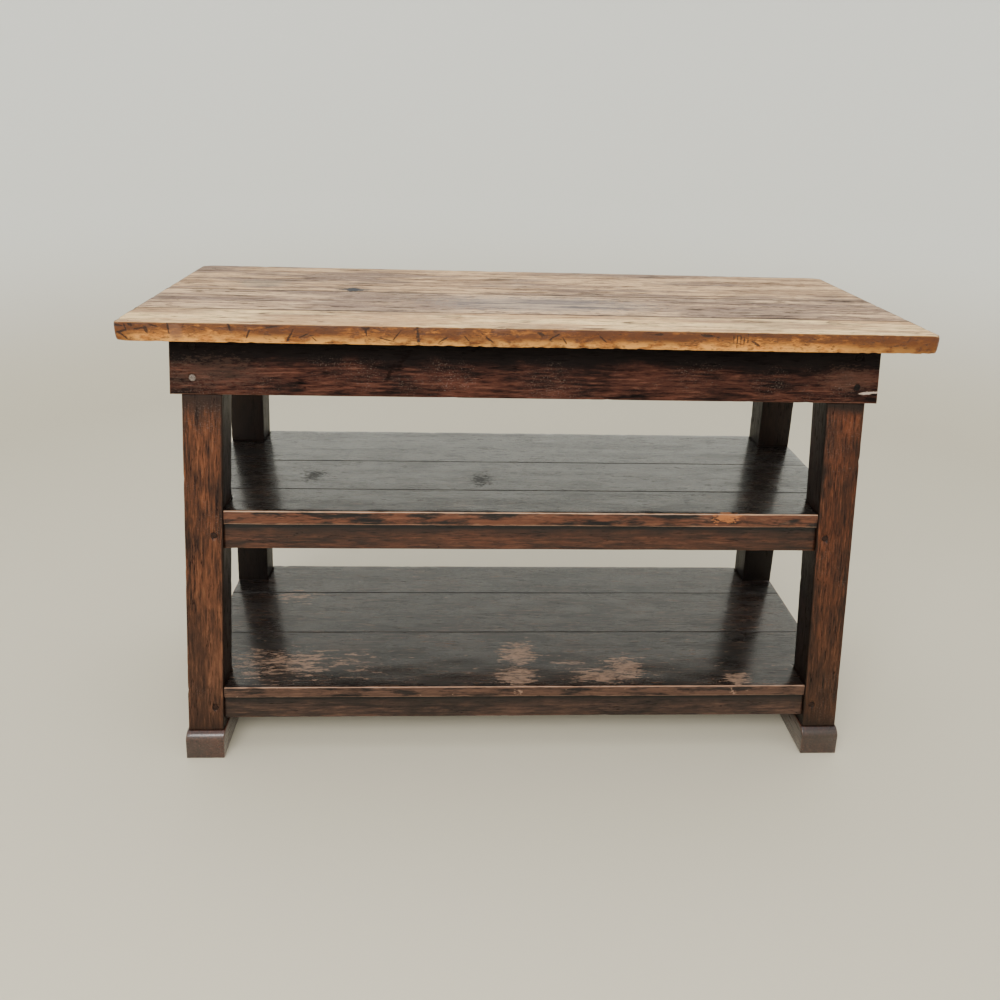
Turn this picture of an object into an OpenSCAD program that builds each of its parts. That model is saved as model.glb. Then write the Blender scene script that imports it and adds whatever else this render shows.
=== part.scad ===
// Plank-topped work table with four raked legs, two shelves and two sledge runners.
// Millimetres. +X runs along the length, +Y to the back, +Z up.
// The origin is on the floor, under the middle of the table.

/* [Overall] */
// Height of the worktop above the floor
table_h = 914; // [780:2:1100]
// Length of the worktop
top_l = 1394; // [1100:2:1900]
// Depth of the worktop, front to back
top_d = 543; // [450:1:800]

/* [Worktop] */
// Thickness of the worktop planks
top_t = 33; // [26:1:50]
// Width of the front plank
top_front_w = 107; // [60:1:130]
// Width of the rear plank; the middle plank takes what is left
top_rear_w = 263; // [160:1:264]
// Gap left at each seam between worktop planks
top_seam = 0.6; // [0.2:0.1:2]
// Radius of the four corners of the worktop, seen from above
top_corner_r = 10; // [2:1:25]
// Overhang of the worktop past the legs, at the ends
end_overhang = 82; // [50:1:120]
// Overhang of the worktop past the legs, at the front and back
side_overhang = 82; // [50:1:100]

/* [Legs] */
// Leg size along the table's length
post_w = 72; // [60:1:90]
// Leg size from front to back
post_d = 70; // [58:1:90]
// How far the legs lean out along the length, in degrees
end_splay = 4.7; // [2:0.1:8]
// How far the legs lean out to the front and back, in degrees
side_splay = 5.0; // [2:0.1:8]
// Width of the stub tenon on a leg's head, along the length
head_tenon_w = 36; // [24:1:44]
// Depth of the stub tenon on a leg's head, front to back
head_tenon_d = 20; // [12:1:24]
// Height of the stub tenon on a leg's head
head_tenon_h = 16; // [8:1:20]
// Side of the square tenon on a leg's foot
foot_tenon_w = 34; // [24:1:44]
// Length of the tenon on a leg's foot
foot_tenon_h = 38; // [24:1:42]

/* [Aprons] */
// Height of the aprons
apron_h = 111; // [90:1:140]
// Thickness of the front and back aprons
apron_t = 32; // [26:1:38]
// How far the front and back aprons stand proud of the legs
apron_proud = 8; // [4:1:12]
// How far the front and back aprons run past the legs at each end
apron_past = 18; // [8:1:30]
// Thickness of the end aprons
end_apron_t = 30; // [22:1:36]
// Length of the tenons on the end aprons
end_apron_tenon_l = 24; // [18:1:28]

/* [Rails] */
// Height of the shelf rails
rail_h = 52; // [42:1:70]
// Thickness of the shelf rails
rail_t = 30; // [24:1:34]
// How far rails and end aprons are set back from the outer faces of the legs
rail_setback = 9; // [4:1:12]
// Thickness of every rail and apron tenon
tenon_t = 12; // [9:1:14]
// Shoulder above and below a rail tenon
tenon_shoulder = 8; // [5:1:12]
// Wood left between the tenons that meet in one leg
tenon_gap = 4; // [2:1:8]

/* [Shelves] */
// Height of the middle shelf's top above the floor
mid_shelf_z = 547; // [420:1:660]
// Thickness of the middle shelf's planks
mid_shelf_t = 29; // [22:1:36]
// Width of the front plank of the middle shelf
mid_front_w = 104; // [90:1:125]
// Width of the rear plank of the middle shelf; the middle plank takes what is left
mid_rear_w = 184; // [120:1:190]
// Height of the lower shelf's top above the floor
low_shelf_z = 165; // [150:1:240]
// Thickness of the lower shelf's planks
low_shelf_t = 26; // [20:1:32]
// Width of the front plank of the lower shelf
low_front_w = 200; // [120:1:240]
// Width of the rear plank of the lower shelf; the middle plank takes what is left
low_rear_w = 133; // [110:1:140]
// Gap left at each seam between shelf planks
shelf_seam = 1.2; // [0.4:0.1:3]

/* [Runners] */
// Height of the runners
runner_h = 64; // [50:1:70]
// How far a runner stands proud of the leg on each side
runner_proud = 3.5; // [0:0.5:10]
// How far a runner's nose reaches past the leg
nose_past = 13; // [6:1:30]
// Radius of the rounded top of a runner's nose
nose_r = 20; // [8:1:30]

/* [Battens and fixings] */
// Width of the battens under the worktop
top_batten_w = 60; // [40:1:80]
// Height of the battens under the worktop
top_batten_h = 30; // [22:1:40]
// Distance of the outer worktop battens from the outer faces of the leg heads
top_batten_inset = 185; // [140:1:260]
// Width of the battens under the shelves
shelf_batten_w = 50; // [36:1:70]
// Height of the battens under the shelves
shelf_batten_h = 26; // [20:1:34]
// Distance of the shelf battens from the inner faces of the legs
shelf_batten_inset = 300; // [120:1:340]
// Depth of the housings that take the ends of the battens
housing_d = 8; // [5:1:12]
// Diameter of the oak pegs
peg_d = 12; // [8:0.5:13]
// How far a peg's end stands proud of the wood round it
peg_proud = 0.8; // [0.2:0.1:2]
// Distance of the rail pegs from the shoulder of the joint
peg_in = 16; // [12:1:20]
// Height of the rail pegs above the middle of the rail
peg_rise = 5; // [0:1:6]
// Distance of the apron's pegs from the outer face of the leg
lap_peg_in = 22; // [18:1:30]
// Height of the lower peg of each apron joint above the apron's bottom edge
apron_peg_low = 30; // [20:1:40]
// Depth of the upper peg of each apron joint below the apron's top edge
apron_peg_high = 26; // [20:1:40]
// Distance of the end apron's pegs from the shoulder of the joint
end_peg_in = 12; // [9:1:14]
// Height of the runner pegs above the floor
runner_peg_z = 42; // [36:1:46]
// Depth of the runner pegs, from the leg's outer face
runner_peg_l = 60; // [50:1:66]
// Diameter of the dowels in the worktop
dowel_d = 10; // [6:1:12]
// Length of the dowels between the worktop planks
dowel_l = 50; // [30:1:56]
// Number of dowels in each seam of the worktop, even so that none meets the centre batten's screws
dowel_count = 4; // [4:2:6]
// Distance of the outermost dowels in a seam from the leg heads
dowel_inset = 50; // [30:1:60]
// Depth of the dowels from the worktop into the tops of the long aprons
apron_dowel_down = 24; // [15:1:28]
// Diameter of the wood screws' shanks
screw_d = 4.5; // [3:0.5:6]
// Diameter of the wood screws' heads
screw_head_d = 9; // [7:0.5:12]
// How far the screws reach into a plank
screw_bite = 18; // [10:1:19]

/* [Fit] */
// Clearance round tenons, laps and batten ends
joint_gap = 0.2; // [0.1:0.1:0.5]
// Clearance between a shelf plank's notch and the leg
notch_gap = 0.5; // [0.2:0.1:1.5]
// Space left past the end of a tenon in its mortise
glue_gap = 1; // [0.5:0.5:2]

/* [Hidden] */
$fn = 48;

front = -1;
back = 1;
left = -1;
right = 1;

// Colours of the finishes
worn_oak = "#b08a5c";
stained_oak = "#4a2a1a";
dark_shelf = "#3a322d";
peg_oak = "#6b4a30";
raw_oak = "#9c7a50";
dull_steel = "#70706c";

// Heights
top_under = table_h - top_t;
apron_z = top_under - apron_h;
mid_rail_top = mid_shelf_z - mid_shelf_t;
low_rail_top = low_shelf_z - low_shelf_t;

// Longer than any piece, for profiles that are cut to length by a second profile
reach = 2 * (top_l + top_d);
// How far a cutter runs past the face that it opens
past = 40;

// Outer faces of the legs at height z
head_x = top_l / 2 - end_overhang;
head_y = top_d / 2 - side_overhang;
function leg_x(z) = head_x + (top_under - z) * tan(end_splay);
function leg_y(z) = head_y + (top_under - z) * tan(side_splay);

// Distance of the outer worktop battens from the middle of the table
top_batten_x = head_x - top_batten_inset;

// Depths in from the outer faces of the legs
apron_back_face = apron_t - apron_proud;
rail_back_face = rail_setback + rail_t;
rail_tenon_near = rail_setback + (rail_t - tenon_t) / 2;
rail_tenon_far = rail_tenon_near + tenon_t;
tenon_cover = rail_tenon_far + tenon_gap;
end_tenon_near = rail_setback + (end_apron_t - tenon_t) / 2;
rail_peg_l = rail_back_face + tenon_shoulder;
lap_peg_l = post_d - end_apron_tenon_l - tenon_gap / 2;
end_peg_l = rail_setback + end_apron_t + tenon_shoulder;

// Seams of the planks, from front to back
function plank_edges(half_d, front_w, rear_w) = [-half_d, front_w - half_d, half_d - rear_w, half_d];
top_edges = plank_edges(top_d / 2, top_front_w, top_rear_w);
mid_edges = plank_edges(leg_y(mid_shelf_z), mid_front_w, mid_rear_w);
low_edges = plank_edges(leg_y(low_shelf_z), low_front_w, low_rear_w);

// ---- Raked shapes ----

// A prism along Y. Its outline runs from a0 to b0 at height z0, and from a1 to b1 at z1.
module lean_x(z0, z1, a0, b0, a1, b1) {
    rotate([90, 0, 0])
        linear_extrude(reach, center = true)
            polygon([[a0, z0], [b0, z0], [b1, z1], [a1, z1]]);
}

// The same along X.
module lean_y(z0, z1, a0, b0, a1, b1) {
    rotate([90, 0, 90])
        linear_extrude(reach, center = true)
            polygon([[a0, z0], [b0, z0], [b1, z1], [a1, z1]]);
}

// What lies between two depths in from the right legs' outer faces.
module band_x(z0, z1, near, far) {
    lean_x(z0, z1, leg_x(z0) - far, leg_x(z0) - near, leg_x(z1) - far, leg_x(z1) - near);
}

// What lies between two depths in from the back legs' outer faces.
module band_y(z0, z1, near, far) {
    lean_y(z0, z1, leg_y(z0) - far, leg_y(z0) - near, leg_y(z1) - far, leg_y(z1) - near);
}

// What lies between the left and right legs, up to a depth in from their outer faces.
module span_x(z0, z1, depth) {
    lean_x(z0, z1, depth - leg_x(z0), leg_x(z0) - depth, depth - leg_x(z1), leg_x(z1) - depth);
}

// What lies between the front and back legs, up to a depth in from their outer faces.
module span_y(z0, z1, depth) {
    lean_y(z0, z1, depth - leg_y(z0), leg_y(z0) - depth, depth - leg_y(z1), leg_y(z1) - depth);
}

// Moves a piece of the back right corner to the corner named by its two sides.
module at_corner(side_x, side_y) {
    mirror([side_x < 0 ? 1 : 0, 0, 0])
        mirror([0, side_y < 0 ? 1 : 0, 0])
            children();
}

// ---- Tenons, with clearance when gap is above zero ----

// Tenon of a front or back rail, through both ends.
module long_tenon(rail_top, gap = 0) {
    z0 = rail_top - rail_h + tenon_shoulder - gap;
    z1 = rail_top - tenon_shoulder + gap;
    intersection() {
        span_x(z0, z1, tenon_cover - (gap > 0 ? glue_gap : 0));
        band_y(z0, z1, rail_tenon_near - gap, rail_tenon_far + gap);
    }
}

// Tenon of an end rail, through both ends.
module end_tenon(rail_top, gap = 0) {
    z0 = rail_top - rail_h + tenon_shoulder - gap;
    z1 = rail_top - tenon_shoulder + gap;
    intersection() {
        span_y(z0, z1, tenon_cover - (gap > 0 ? glue_gap : 0));
        band_x(z0, z1, rail_tenon_near - gap, rail_tenon_far + gap);
    }
}

// Tenon of an end apron, through both ends.
module end_apron_tenon(gap = 0) {
    z0 = apron_z + tenon_shoulder - gap;
    z1 = top_under - tenon_shoulder + gap;
    intersection() {
        span_y(z0, z1, post_d - end_apron_tenon_l - (gap > 0 ? glue_gap : 0));
        band_x(z0, z1, end_tenon_near - gap, end_tenon_near + tenon_t + gap);
    }
}

// Stub tenon on a leg's head.
module head_tenon(gap = 0) {
    x = leg_x(top_under) - post_w / 2;
    y = leg_y(top_under) - (apron_back_face + post_d) / 2;
    h = head_tenon_h + (gap > 0 ? glue_gap : 0);
    translate([x - head_tenon_w / 2 - gap, y - head_tenon_d / 2 - gap, top_under])
        cube([head_tenon_w + 2 * gap, head_tenon_d + 2 * gap, h]);
}

// Tenon on a leg's foot.
module foot_tenon(gap = 0) {
    x = leg_x(runner_h) - post_w / 2;
    y = leg_y(runner_h) - post_d / 2;
    h = foot_tenon_h + (gap > 0 ? glue_gap : 0);
    translate([x - foot_tenon_w / 2 - gap, y - foot_tenon_w / 2 - gap, runner_h - h])
        cube([foot_tenon_w + 2 * gap, foot_tenon_w + 2 * gap, h]);
}

// ---- Pegs ----

// A peg that runs front to back through the back right leg, between two depths in from its face.
module peg_along_y(z, x_depth, near, far) {
    intersection() {
        translate([leg_x(z) - x_depth, 0, z])
            rotate([90, 0, 0])
                cylinder(d = peg_d, h = reach, center = true);
        band_y(z - peg_d, z + peg_d, near, far);
    }
}

// A peg that runs along the length through the back right leg.
module peg_along_x(z, y_depth, near, far) {
    intersection() {
        translate([0, leg_y(z) - y_depth, z])
            rotate([0, 90, 0])
                cylinder(d = peg_d, h = reach, center = true);
        band_x(z - peg_d, z + peg_d, near, far);
    }
}

// Both pegs of one leg at one shelf.
module rail_pegs_of_leg(rail_top) {
    z = rail_top - rail_h / 2 + peg_rise;
    peg_along_y(z, post_w - peg_in, -peg_proud, rail_peg_l);
    peg_along_x(z, post_d - peg_in, -peg_proud, rail_peg_l);
}

// The two pegs of one leg that hold the long apron.
module lap_pegs_of_leg() {
    for (z = [apron_z + apron_peg_low, top_under - apron_peg_high])
        peg_along_y(z, lap_peg_in, -apron_proud - peg_proud, lap_peg_l);
}

// The two pegs of one leg that hold the end apron.
module end_pegs_of_leg() {
    for (z = [apron_z + apron_peg_low, top_under - apron_peg_high])
        peg_along_x(z, post_d - end_peg_in, -peg_proud, end_peg_l);
}

// The peg that locks one leg into its runner.
module runner_peg_of_leg() {
    peg_along_x(runner_peg_z, post_d / 2, -runner_proud - peg_proud, runner_peg_l);
}

// ---- Legs ----

module post(side_x, side_y) {
    color(stained_oak)
        at_corner(side_x, side_y)
            difference() {
                union() {
                    intersection() {
                        band_x(runner_h, top_under, 0, post_w);
                        band_y(runner_h, top_under, 0, post_d);
                    }
                    head_tenon();
                    foot_tenon();
                }
                // Lap for the long apron
                translate([0, leg_y(apron_z) - apron_back_face - joint_gap, apron_z])
                    lap_cutter();
                long_tenon(mid_rail_top, joint_gap);
                end_tenon(mid_rail_top, joint_gap);
                long_tenon(low_rail_top, joint_gap);
                end_tenon(low_rail_top, joint_gap);
                end_apron_tenon(joint_gap);
                rail_pegs_of_leg(mid_rail_top);
                rail_pegs_of_leg(low_rail_top);
                lap_pegs_of_leg();
                end_pegs_of_leg();
                runner_peg_of_leg();
            }
}

// Clears the leg's head where the long apron lies. Its low back edge is at the origin.
module lap_cutter() {
    lean = (apron_h + past) * tan(side_splay);
    rotate([90, 0, 90])
        linear_extrude(reach, center = true)
            polygon([[0, 0], [post_d, 0], [post_d, apron_h + past], [-lean, apron_h + past]]);
}

// ---- Aprons ----

// Ends of a batten that lies across the table, between the inner faces of the long pieces.
module batten_blank(x, w, h, top, depth, gap) {
    intersection() {
        translate([x - w / 2 - gap, -reach / 2, top - h])
            cube([w + 2 * gap, reach, h]);
        span_y(top - h, top, depth - gap);
    }
}

module top_batten_blank(place, gap = 0) {
    batten_blank(place * top_batten_x, top_batten_w, top_batten_h, top_under,
        apron_back_face - housing_d, gap);
}

// Upright dowels between the long aprons and the worktop, clear of the battens. They end just
// under the level dowels of the seams.
module all_apron_dowels() {
    y = head_y + apron_proud - apron_t / 2;
    up = (top_t - dowel_d) / 2 - glue_gap;
    for (x = [top_batten_x / 2, top_batten_x + top_batten_inset / 2], side_x = [-1, 1], side_y = [-1, 1])
        translate([side_x * x, side_y * y, top_under - apron_dowel_down])
            cylinder(d = dowel_d, h = apron_dowel_down + up);
}

module long_apron(side_y) {
    color(stained_oak)
        at_corner(right, side_y)
            difference() {
                intersection() {
                    span_x(apron_z, top_under, -apron_past);
                    band_y(apron_z, top_under, -apron_proud, apron_back_face);
                }
                for (place = [-1, 0, 1])
                    top_batten_blank(place, joint_gap);
                all_apron_dowels();
                for (side_x = [left, right])
                    at_corner(side_x, back)
                        lap_pegs_of_leg();
            }
}

module end_apron(side_x) {
    color(stained_oak)
        at_corner(side_x, back)
            difference() {
                union() {
                    intersection() {
                        band_x(apron_z, top_under, rail_setback, rail_setback + end_apron_t);
                        span_y(apron_z, top_under, post_d);
                    }
                    end_apron_tenon();
                }
                for (side_y = [front, back])
                    at_corner(right, side_y)
                        end_pegs_of_leg();
            }
}

// ---- Shelf rails ----

module shelf_batten_blank(side_x, rail_top, gap = 0) {
    x = side_x * (leg_x(rail_top) - post_w - shelf_batten_inset);
    batten_blank(x, shelf_batten_w, shelf_batten_h, rail_top, rail_back_face - housing_d, gap);
}

module long_rail(rail_top, side_y) {
    color(stained_oak)
        at_corner(right, side_y)
            difference() {
                union() {
                    intersection() {
                        span_x(rail_top - rail_h, rail_top, post_w);
                        band_y(rail_top - rail_h, rail_top, rail_setback, rail_back_face);
                    }
                    long_tenon(rail_top);
                }
                for (side_x = [left, right]) {
                    shelf_batten_blank(side_x, rail_top, joint_gap);
                    at_corner(side_x, back)
                        rail_pegs_of_leg(rail_top);
                }
            }
}

module end_rail(rail_top, side_x) {
    color(stained_oak)
        at_corner(side_x, back)
            difference() {
                union() {
                    intersection() {
                        band_x(rail_top - rail_h, rail_top, rail_setback, rail_back_face);
                        span_y(rail_top - rail_h, rail_top, post_d);
                    }
                    end_tenon(rail_top);
                }
                for (side_y = [front, back])
                    at_corner(right, side_y)
                        rail_pegs_of_leg(rail_top);
            }
}

// ---- Screws through the battens ----

// Where a batten's screws meet one plank: two places, clear of the long pieces at its ends.
// A plank that hardly reaches past a long piece gets none, because dowels hold it.
function screw_rows(edges, plank, limit) =
    let (y0 = max(edges[plank], -limit), y1 = min(edges[plank + 1], limit), room = y1 - y0)
    room < 4 * screw_head_d ? [] : [y0 + room / 4, y1 - room / 4];

// A countersunk screw that points up, with its head's face at the origin.
module screw(h) {
    head_h = (screw_head_d - screw_d) / 2;
    rotate_extrude()
        polygon([[0, 0], [screw_head_d / 2, 0], [screw_d / 2, head_h],
            [screw_d / 2, h - screw_d / 2], [0, h]]);
}

module batten_screws(x, top, h, edges, limit) {
    for (plank = [0:2])
        for (y = screw_rows(edges, plank, limit))
            translate([x, y, top - h])
                screw(h + screw_bite);
}

module all_top_screws() {
    for (place = [-1, 0, 1])
        batten_screws(place * top_batten_x, top_under, top_batten_h, top_edges,
            head_y - apron_back_face);
}

module all_shelf_screws(rail_top, edges) {
    for (side_x = [left, right])
        batten_screws(side_x * (leg_x(rail_top) - post_w - shelf_batten_inset), rail_top,
            shelf_batten_h, edges, leg_y(rail_top) - rail_back_face);
}

module top_batten(place) {
    color(raw_oak)
        difference() {
            top_batten_blank(place);
            all_top_screws();
        }
}

module shelf_batten(side_x, rail_top, edges) {
    color(stained_oak)
        difference() {
            shelf_batten_blank(side_x, rail_top);
            all_shelf_screws(rail_top, edges);
        }
}

// ---- Worktop ----

// The worktop's outline, seen from above
module top_outline() {
    square([top_l - 2 * top_corner_r, top_d], center = true);
    square([top_l, top_d - 2 * top_corner_r], center = true);
    for (x = [-1, 1], y = [-1, 1])
        translate([x * (top_l / 2 - top_corner_r), y * (top_d / 2 - top_corner_r)])
            circle(top_corner_r);
}

module all_top_dowels() {
    pitch = 2 * (head_x - post_w - dowel_inset) / (dowel_count - 1);
    for (seam = [1, 2], i = [0:dowel_count - 1])
        translate([(i - (dowel_count - 1) / 2) * pitch, top_edges[seam], top_under + top_t / 2])
            rotate([90, 0, 0])
                cylinder(d = dowel_d, h = dowel_l, center = true);
}

module top_plank(plank) {
    y0 = top_edges[plank] + (plank > 0 ? top_seam / 2 : 0);
    y1 = top_edges[plank + 1] - (plank < 2 ? top_seam / 2 : 0);
    color(worn_oak)
        difference() {
            translate([0, 0, top_under])
                linear_extrude(top_t)
                    intersection() {
                        top_outline();
                        translate([-top_l, y0])
                            square([2 * top_l, y1 - y0]);
                    }
            all_top_dowels();
            all_apron_dowels();
            all_top_screws();
            for (side_x = [left, right], side_y = [front, back])
                at_corner(side_x, side_y)
                    head_tenon(joint_gap);
        }
}

// ---- Shelf planks ----

// Room for the back right leg at a shelf's corner
module leg_notch(z0, z1) {
    intersection() {
        band_x(z0, z1, -past, post_w + notch_gap);
        band_y(z0, z1, -past, post_d + notch_gap);
    }
}

module shelf_plank(plank, edges, top, thick) {
    y0 = edges[plank] + (plank > 0 ? shelf_seam / 2 : 0);
    y1 = edges[plank + 1] - (plank < 2 ? shelf_seam / 2 : 0);
    half_l = leg_x(top);
    color(dark_shelf)
        difference() {
            translate([-half_l, y0, top - thick])
                cube([2 * half_l, y1 - y0, thick]);
            for (side_x = [left, right], side_y = [front, back])
                at_corner(side_x, side_y)
                    leg_notch(top - thick - past, top + past);
            all_shelf_screws(top - thick, edges);
        }
}

// ---- Runners ----

// Side view of a runner, with a rounded nose at each end
module runner_profile() {
    half_l = leg_y(runner_h) + nose_past;
    translate([-half_l, 0])
        square([2 * half_l, runner_h - nose_r]);
    translate([-half_l + nose_r, 0])
        square([2 * (half_l - nose_r), runner_h]);
    for (side = [-1, 1])
        translate([side * (half_l - nose_r), runner_h - nose_r])
            circle(nose_r);
}

module runner(side_x) {
    color(stained_oak)
        at_corner(side_x, back)
            difference() {
                intersection() {
                    band_x(0, runner_h, -runner_proud, post_w + runner_proud);
                    rotate([90, 0, 90])
                        linear_extrude(reach, center = true)
                            runner_profile();
                }
                for (side_y = [front, back])
                    at_corner(right, side_y) {
                        foot_tenon(joint_gap);
                        runner_peg_of_leg();
                    }
            }
}

// ---- Pegs as nodes ----

module pegs_at(sides_x, sides_y) {
    color(peg_oak)
        for (side_x = sides_x, side_y = sides_y)
            at_corner(side_x, side_y)
                children();
}

both_ends = [left, right];
both_sides = [front, back];

top_plank(0);  // top_plank_front
top_plank(1);  // top_plank_middle
top_plank(2);  // top_plank_rear
color(raw_oak) all_top_dowels();  // top_dowels
color(raw_oak) all_apron_dowels();  // apron_dowels
top_batten(-1);  // top_batten_left
top_batten(0);  // top_batten_centre
top_batten(1);  // top_batten_right
color(dull_steel) all_top_screws();  // top_screws
long_apron(front);  // apron_front
long_apron(back);  // apron_back
end_apron(left);  // apron_left
end_apron(right);  // apron_right
pegs_at(both_ends, [front]) lap_pegs_of_leg();  // apron_front_pegs
pegs_at(both_ends, [back]) lap_pegs_of_leg();  // apron_back_pegs
pegs_at(both_ends, both_sides) end_pegs_of_leg();  // apron_end_pegs
post(left, front);  // post_front_left
post(right, front);  // post_front_right
post(left, back);  // post_back_left
post(right, back);  // post_back_right
long_rail(mid_rail_top, front);  // mid_rail_front
long_rail(mid_rail_top, back);  // mid_rail_back
end_rail(mid_rail_top, left);  // mid_rail_left
end_rail(mid_rail_top, right);  // mid_rail_right
pegs_at(both_ends, both_sides) rail_pegs_of_leg(mid_rail_top);  // mid_rail_pegs
long_rail(low_rail_top, front);  // low_rail_front
long_rail(low_rail_top, back);  // low_rail_back
end_rail(low_rail_top, left);  // low_rail_left
end_rail(low_rail_top, right);  // low_rail_right
pegs_at(both_ends, both_sides) rail_pegs_of_leg(low_rail_top);  // low_rail_pegs
shelf_plank(0, mid_edges, mid_shelf_z, mid_shelf_t);  // mid_shelf_plank_front
shelf_plank(1, mid_edges, mid_shelf_z, mid_shelf_t);  // mid_shelf_plank_middle
shelf_plank(2, mid_edges, mid_shelf_z, mid_shelf_t);  // mid_shelf_plank_rear
shelf_batten(left, mid_rail_top, mid_edges);  // mid_shelf_batten_left
shelf_batten(right, mid_rail_top, mid_edges);  // mid_shelf_batten_right
color(dull_steel) all_shelf_screws(mid_rail_top, mid_edges);  // mid_shelf_screws
shelf_plank(0, low_edges, low_shelf_z, low_shelf_t);  // low_shelf_plank_front
shelf_plank(1, low_edges, low_shelf_z, low_shelf_t);  // low_shelf_plank_middle
shelf_plank(2, low_edges, low_shelf_z, low_shelf_t);  // low_shelf_plank_rear
shelf_batten(left, low_rail_top, low_edges);  // low_shelf_batten_left
shelf_batten(right, low_rail_top, low_edges);  // low_shelf_batten_right
color(dull_steel) all_shelf_screws(low_rail_top, low_edges);  // low_shelf_screws
runner(left);  // runner_left
runner(right);  // runner_right
pegs_at(both_ends, both_sides) runner_peg_of_leg();  // runner_pegs
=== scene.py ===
# %% [markdown]
# # A pegged oak work table
#
# The table is a joiner's piece: a scrubbed oak worktop of three planks on a dark stained frame with
# four raked legs, two plank shelves and two sledge runners. Every timber already has its true size
# and joints in the frame that this script loads. What is missing is its age: arrises rounded by
# hands, faces that a hand plane left slightly wavy, dents, splits, stain, wear and wax.
#
# One way would be to add modifiers to the loaded pieces and leave their edges sharp. Here each
# visible timber is instead copied, cleaned, bevelled, sliced into a fine mesh and worn down a
# little, always inwards, so that it still fits in the space that the frame gives it.

# %% Load the frame
import math

import bmesh
import bpy
import numpy as np
from mathutils import Matrix, Vector


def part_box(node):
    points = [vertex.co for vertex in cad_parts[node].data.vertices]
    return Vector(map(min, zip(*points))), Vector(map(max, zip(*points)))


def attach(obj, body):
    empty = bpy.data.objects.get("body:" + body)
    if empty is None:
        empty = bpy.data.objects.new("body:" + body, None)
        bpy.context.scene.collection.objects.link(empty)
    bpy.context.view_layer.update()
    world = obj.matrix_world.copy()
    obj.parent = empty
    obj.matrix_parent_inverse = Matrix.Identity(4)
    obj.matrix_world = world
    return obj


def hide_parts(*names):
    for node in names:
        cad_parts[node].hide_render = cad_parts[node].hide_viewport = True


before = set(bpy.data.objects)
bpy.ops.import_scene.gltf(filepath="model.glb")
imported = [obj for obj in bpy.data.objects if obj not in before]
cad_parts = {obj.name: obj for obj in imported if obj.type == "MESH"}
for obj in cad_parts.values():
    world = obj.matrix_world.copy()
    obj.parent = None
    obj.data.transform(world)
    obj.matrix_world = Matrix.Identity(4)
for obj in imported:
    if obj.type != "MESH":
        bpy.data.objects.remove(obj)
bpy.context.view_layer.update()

# %% [markdown]
# ## Camera
#
# The camera stands a little left of the middle, at about the height of someone's chest, and looks
# down at the table through a slightly wide lens. Its direction is built from three angles, which is
# easier to adjust by eye than a matrix.

# %% Camera
CAMERA_PLACE = Vector((-0.1326, -1.6607, 1.2427))
CAMERA_YAW = math.radians(3.246)
CAMERA_PITCH = math.radians(24.854)
CAMERA_ROLL = math.radians(1.791)
CAMERA_LENS_MM = 30.27


def camera_matrix(place, yaw, pitch, roll):
    """Yaw turns towards +X, pitch looks down, and roll leans the camera to its left."""
    ahead = Vector((math.sin(yaw) * math.cos(pitch), math.cos(yaw) * math.cos(pitch), -math.sin(pitch)))
    level_right = Vector((math.cos(yaw), -math.sin(yaw), 0))
    level_up = level_right.cross(ahead)
    right = level_right * math.cos(roll) + level_up * math.sin(roll)
    up = level_up * math.cos(roll) - level_right * math.sin(roll)
    turn = Matrix((right, up, -ahead)).transposed().to_4x4()
    return Matrix.Translation(place) @ turn


camera_data = bpy.data.cameras.new("camera")
camera_data.sensor_width = 36
camera_data.lens = CAMERA_LENS_MM
camera = bpy.data.objects.new("camera", camera_data)
camera.matrix_world = camera_matrix(CAMERA_PLACE, CAMERA_YAW, CAMERA_PITCH, CAMERA_ROLL)
bpy.context.scene.collection.objects.link(camera)
bpy.context.scene.camera = camera
print("camera at", tuple(round(c, 3) for c in camera.location))

# %% [markdown]
# ## Colours and small node helpers
#
# Finishes are built from shader nodes. A few short helpers keep those graphs readable: one makes a
# node and fills its sockets with values or links, and the others are the nodes used most often.
# Colours are written as the 0 to 255 values that a paint chart gives, and turned into linear light.


# %% Node helpers
def paint(red, green, blue):
    """A linear colour from the values of a paint chart."""
    chart = np.array((red, green, blue)) / 255
    linear = np.where(chart <= 0.04045, chart / 12.92, ((chart + 0.055) / 1.055) ** 2.4)
    return (*(float(c) for c in linear), 1.0)


def add(tree, kind, inputs=None, **settings):
    """Adds a shader node. inputs maps a socket's name or number to a value or to another socket."""
    made = tree.nodes.new("ShaderNode" + kind)
    for name, value in settings.items():
        setattr(made, name, value)
    for name, value in (inputs or {}).items():
        if isinstance(value, bpy.types.NodeSocket):
            tree.links.new(value, made.inputs[name])
        else:
            made.inputs[name].default_value = value
    return made


def maths(tree, operation, a, b=0.5, clamp=False):
    return add(tree, "Math", {0: a, 1: b}, operation=operation, use_clamp=clamp).outputs[0]


def times(tree, a, b):
    return maths(tree, "MULTIPLY", a, b)


def vector_maths(tree, operation, a, b):
    return add(tree, "VectorMath", {0: a, 1: b}, operation=operation).outputs["Vector"]


def stretch(tree, vector, scales):
    """A place scaled by its own factor along each axis, to draw out a pattern that is read at it."""
    return vector_maths(tree, "MULTIPLY", vector, scales)


def mix(tree, amount, a, b):
    """Colour a, replaced by colour b as the amount goes from 0 to 1."""
    return add(tree, "Mix", {"Factor": amount, 6: a, 7: b}, data_type="RGBA").outputs[2]


def step(tree, value, low, high):
    """0 below low, 1 above high, and a smooth rise between them. low may be above high."""
    inputs = {"Value": value, "From Min": low, "From Max": high}
    return add(tree, "MapRange", inputs, interpolation_type="SMOOTHSTEP").outputs["Result"]


def noise(tree, vector, scale, detail, roughness):
    inputs = {"Vector": vector, "Scale": scale, "Detail": detail, "Roughness": roughness}
    return add(tree, "TexNoise", inputs).outputs["Fac"]


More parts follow.
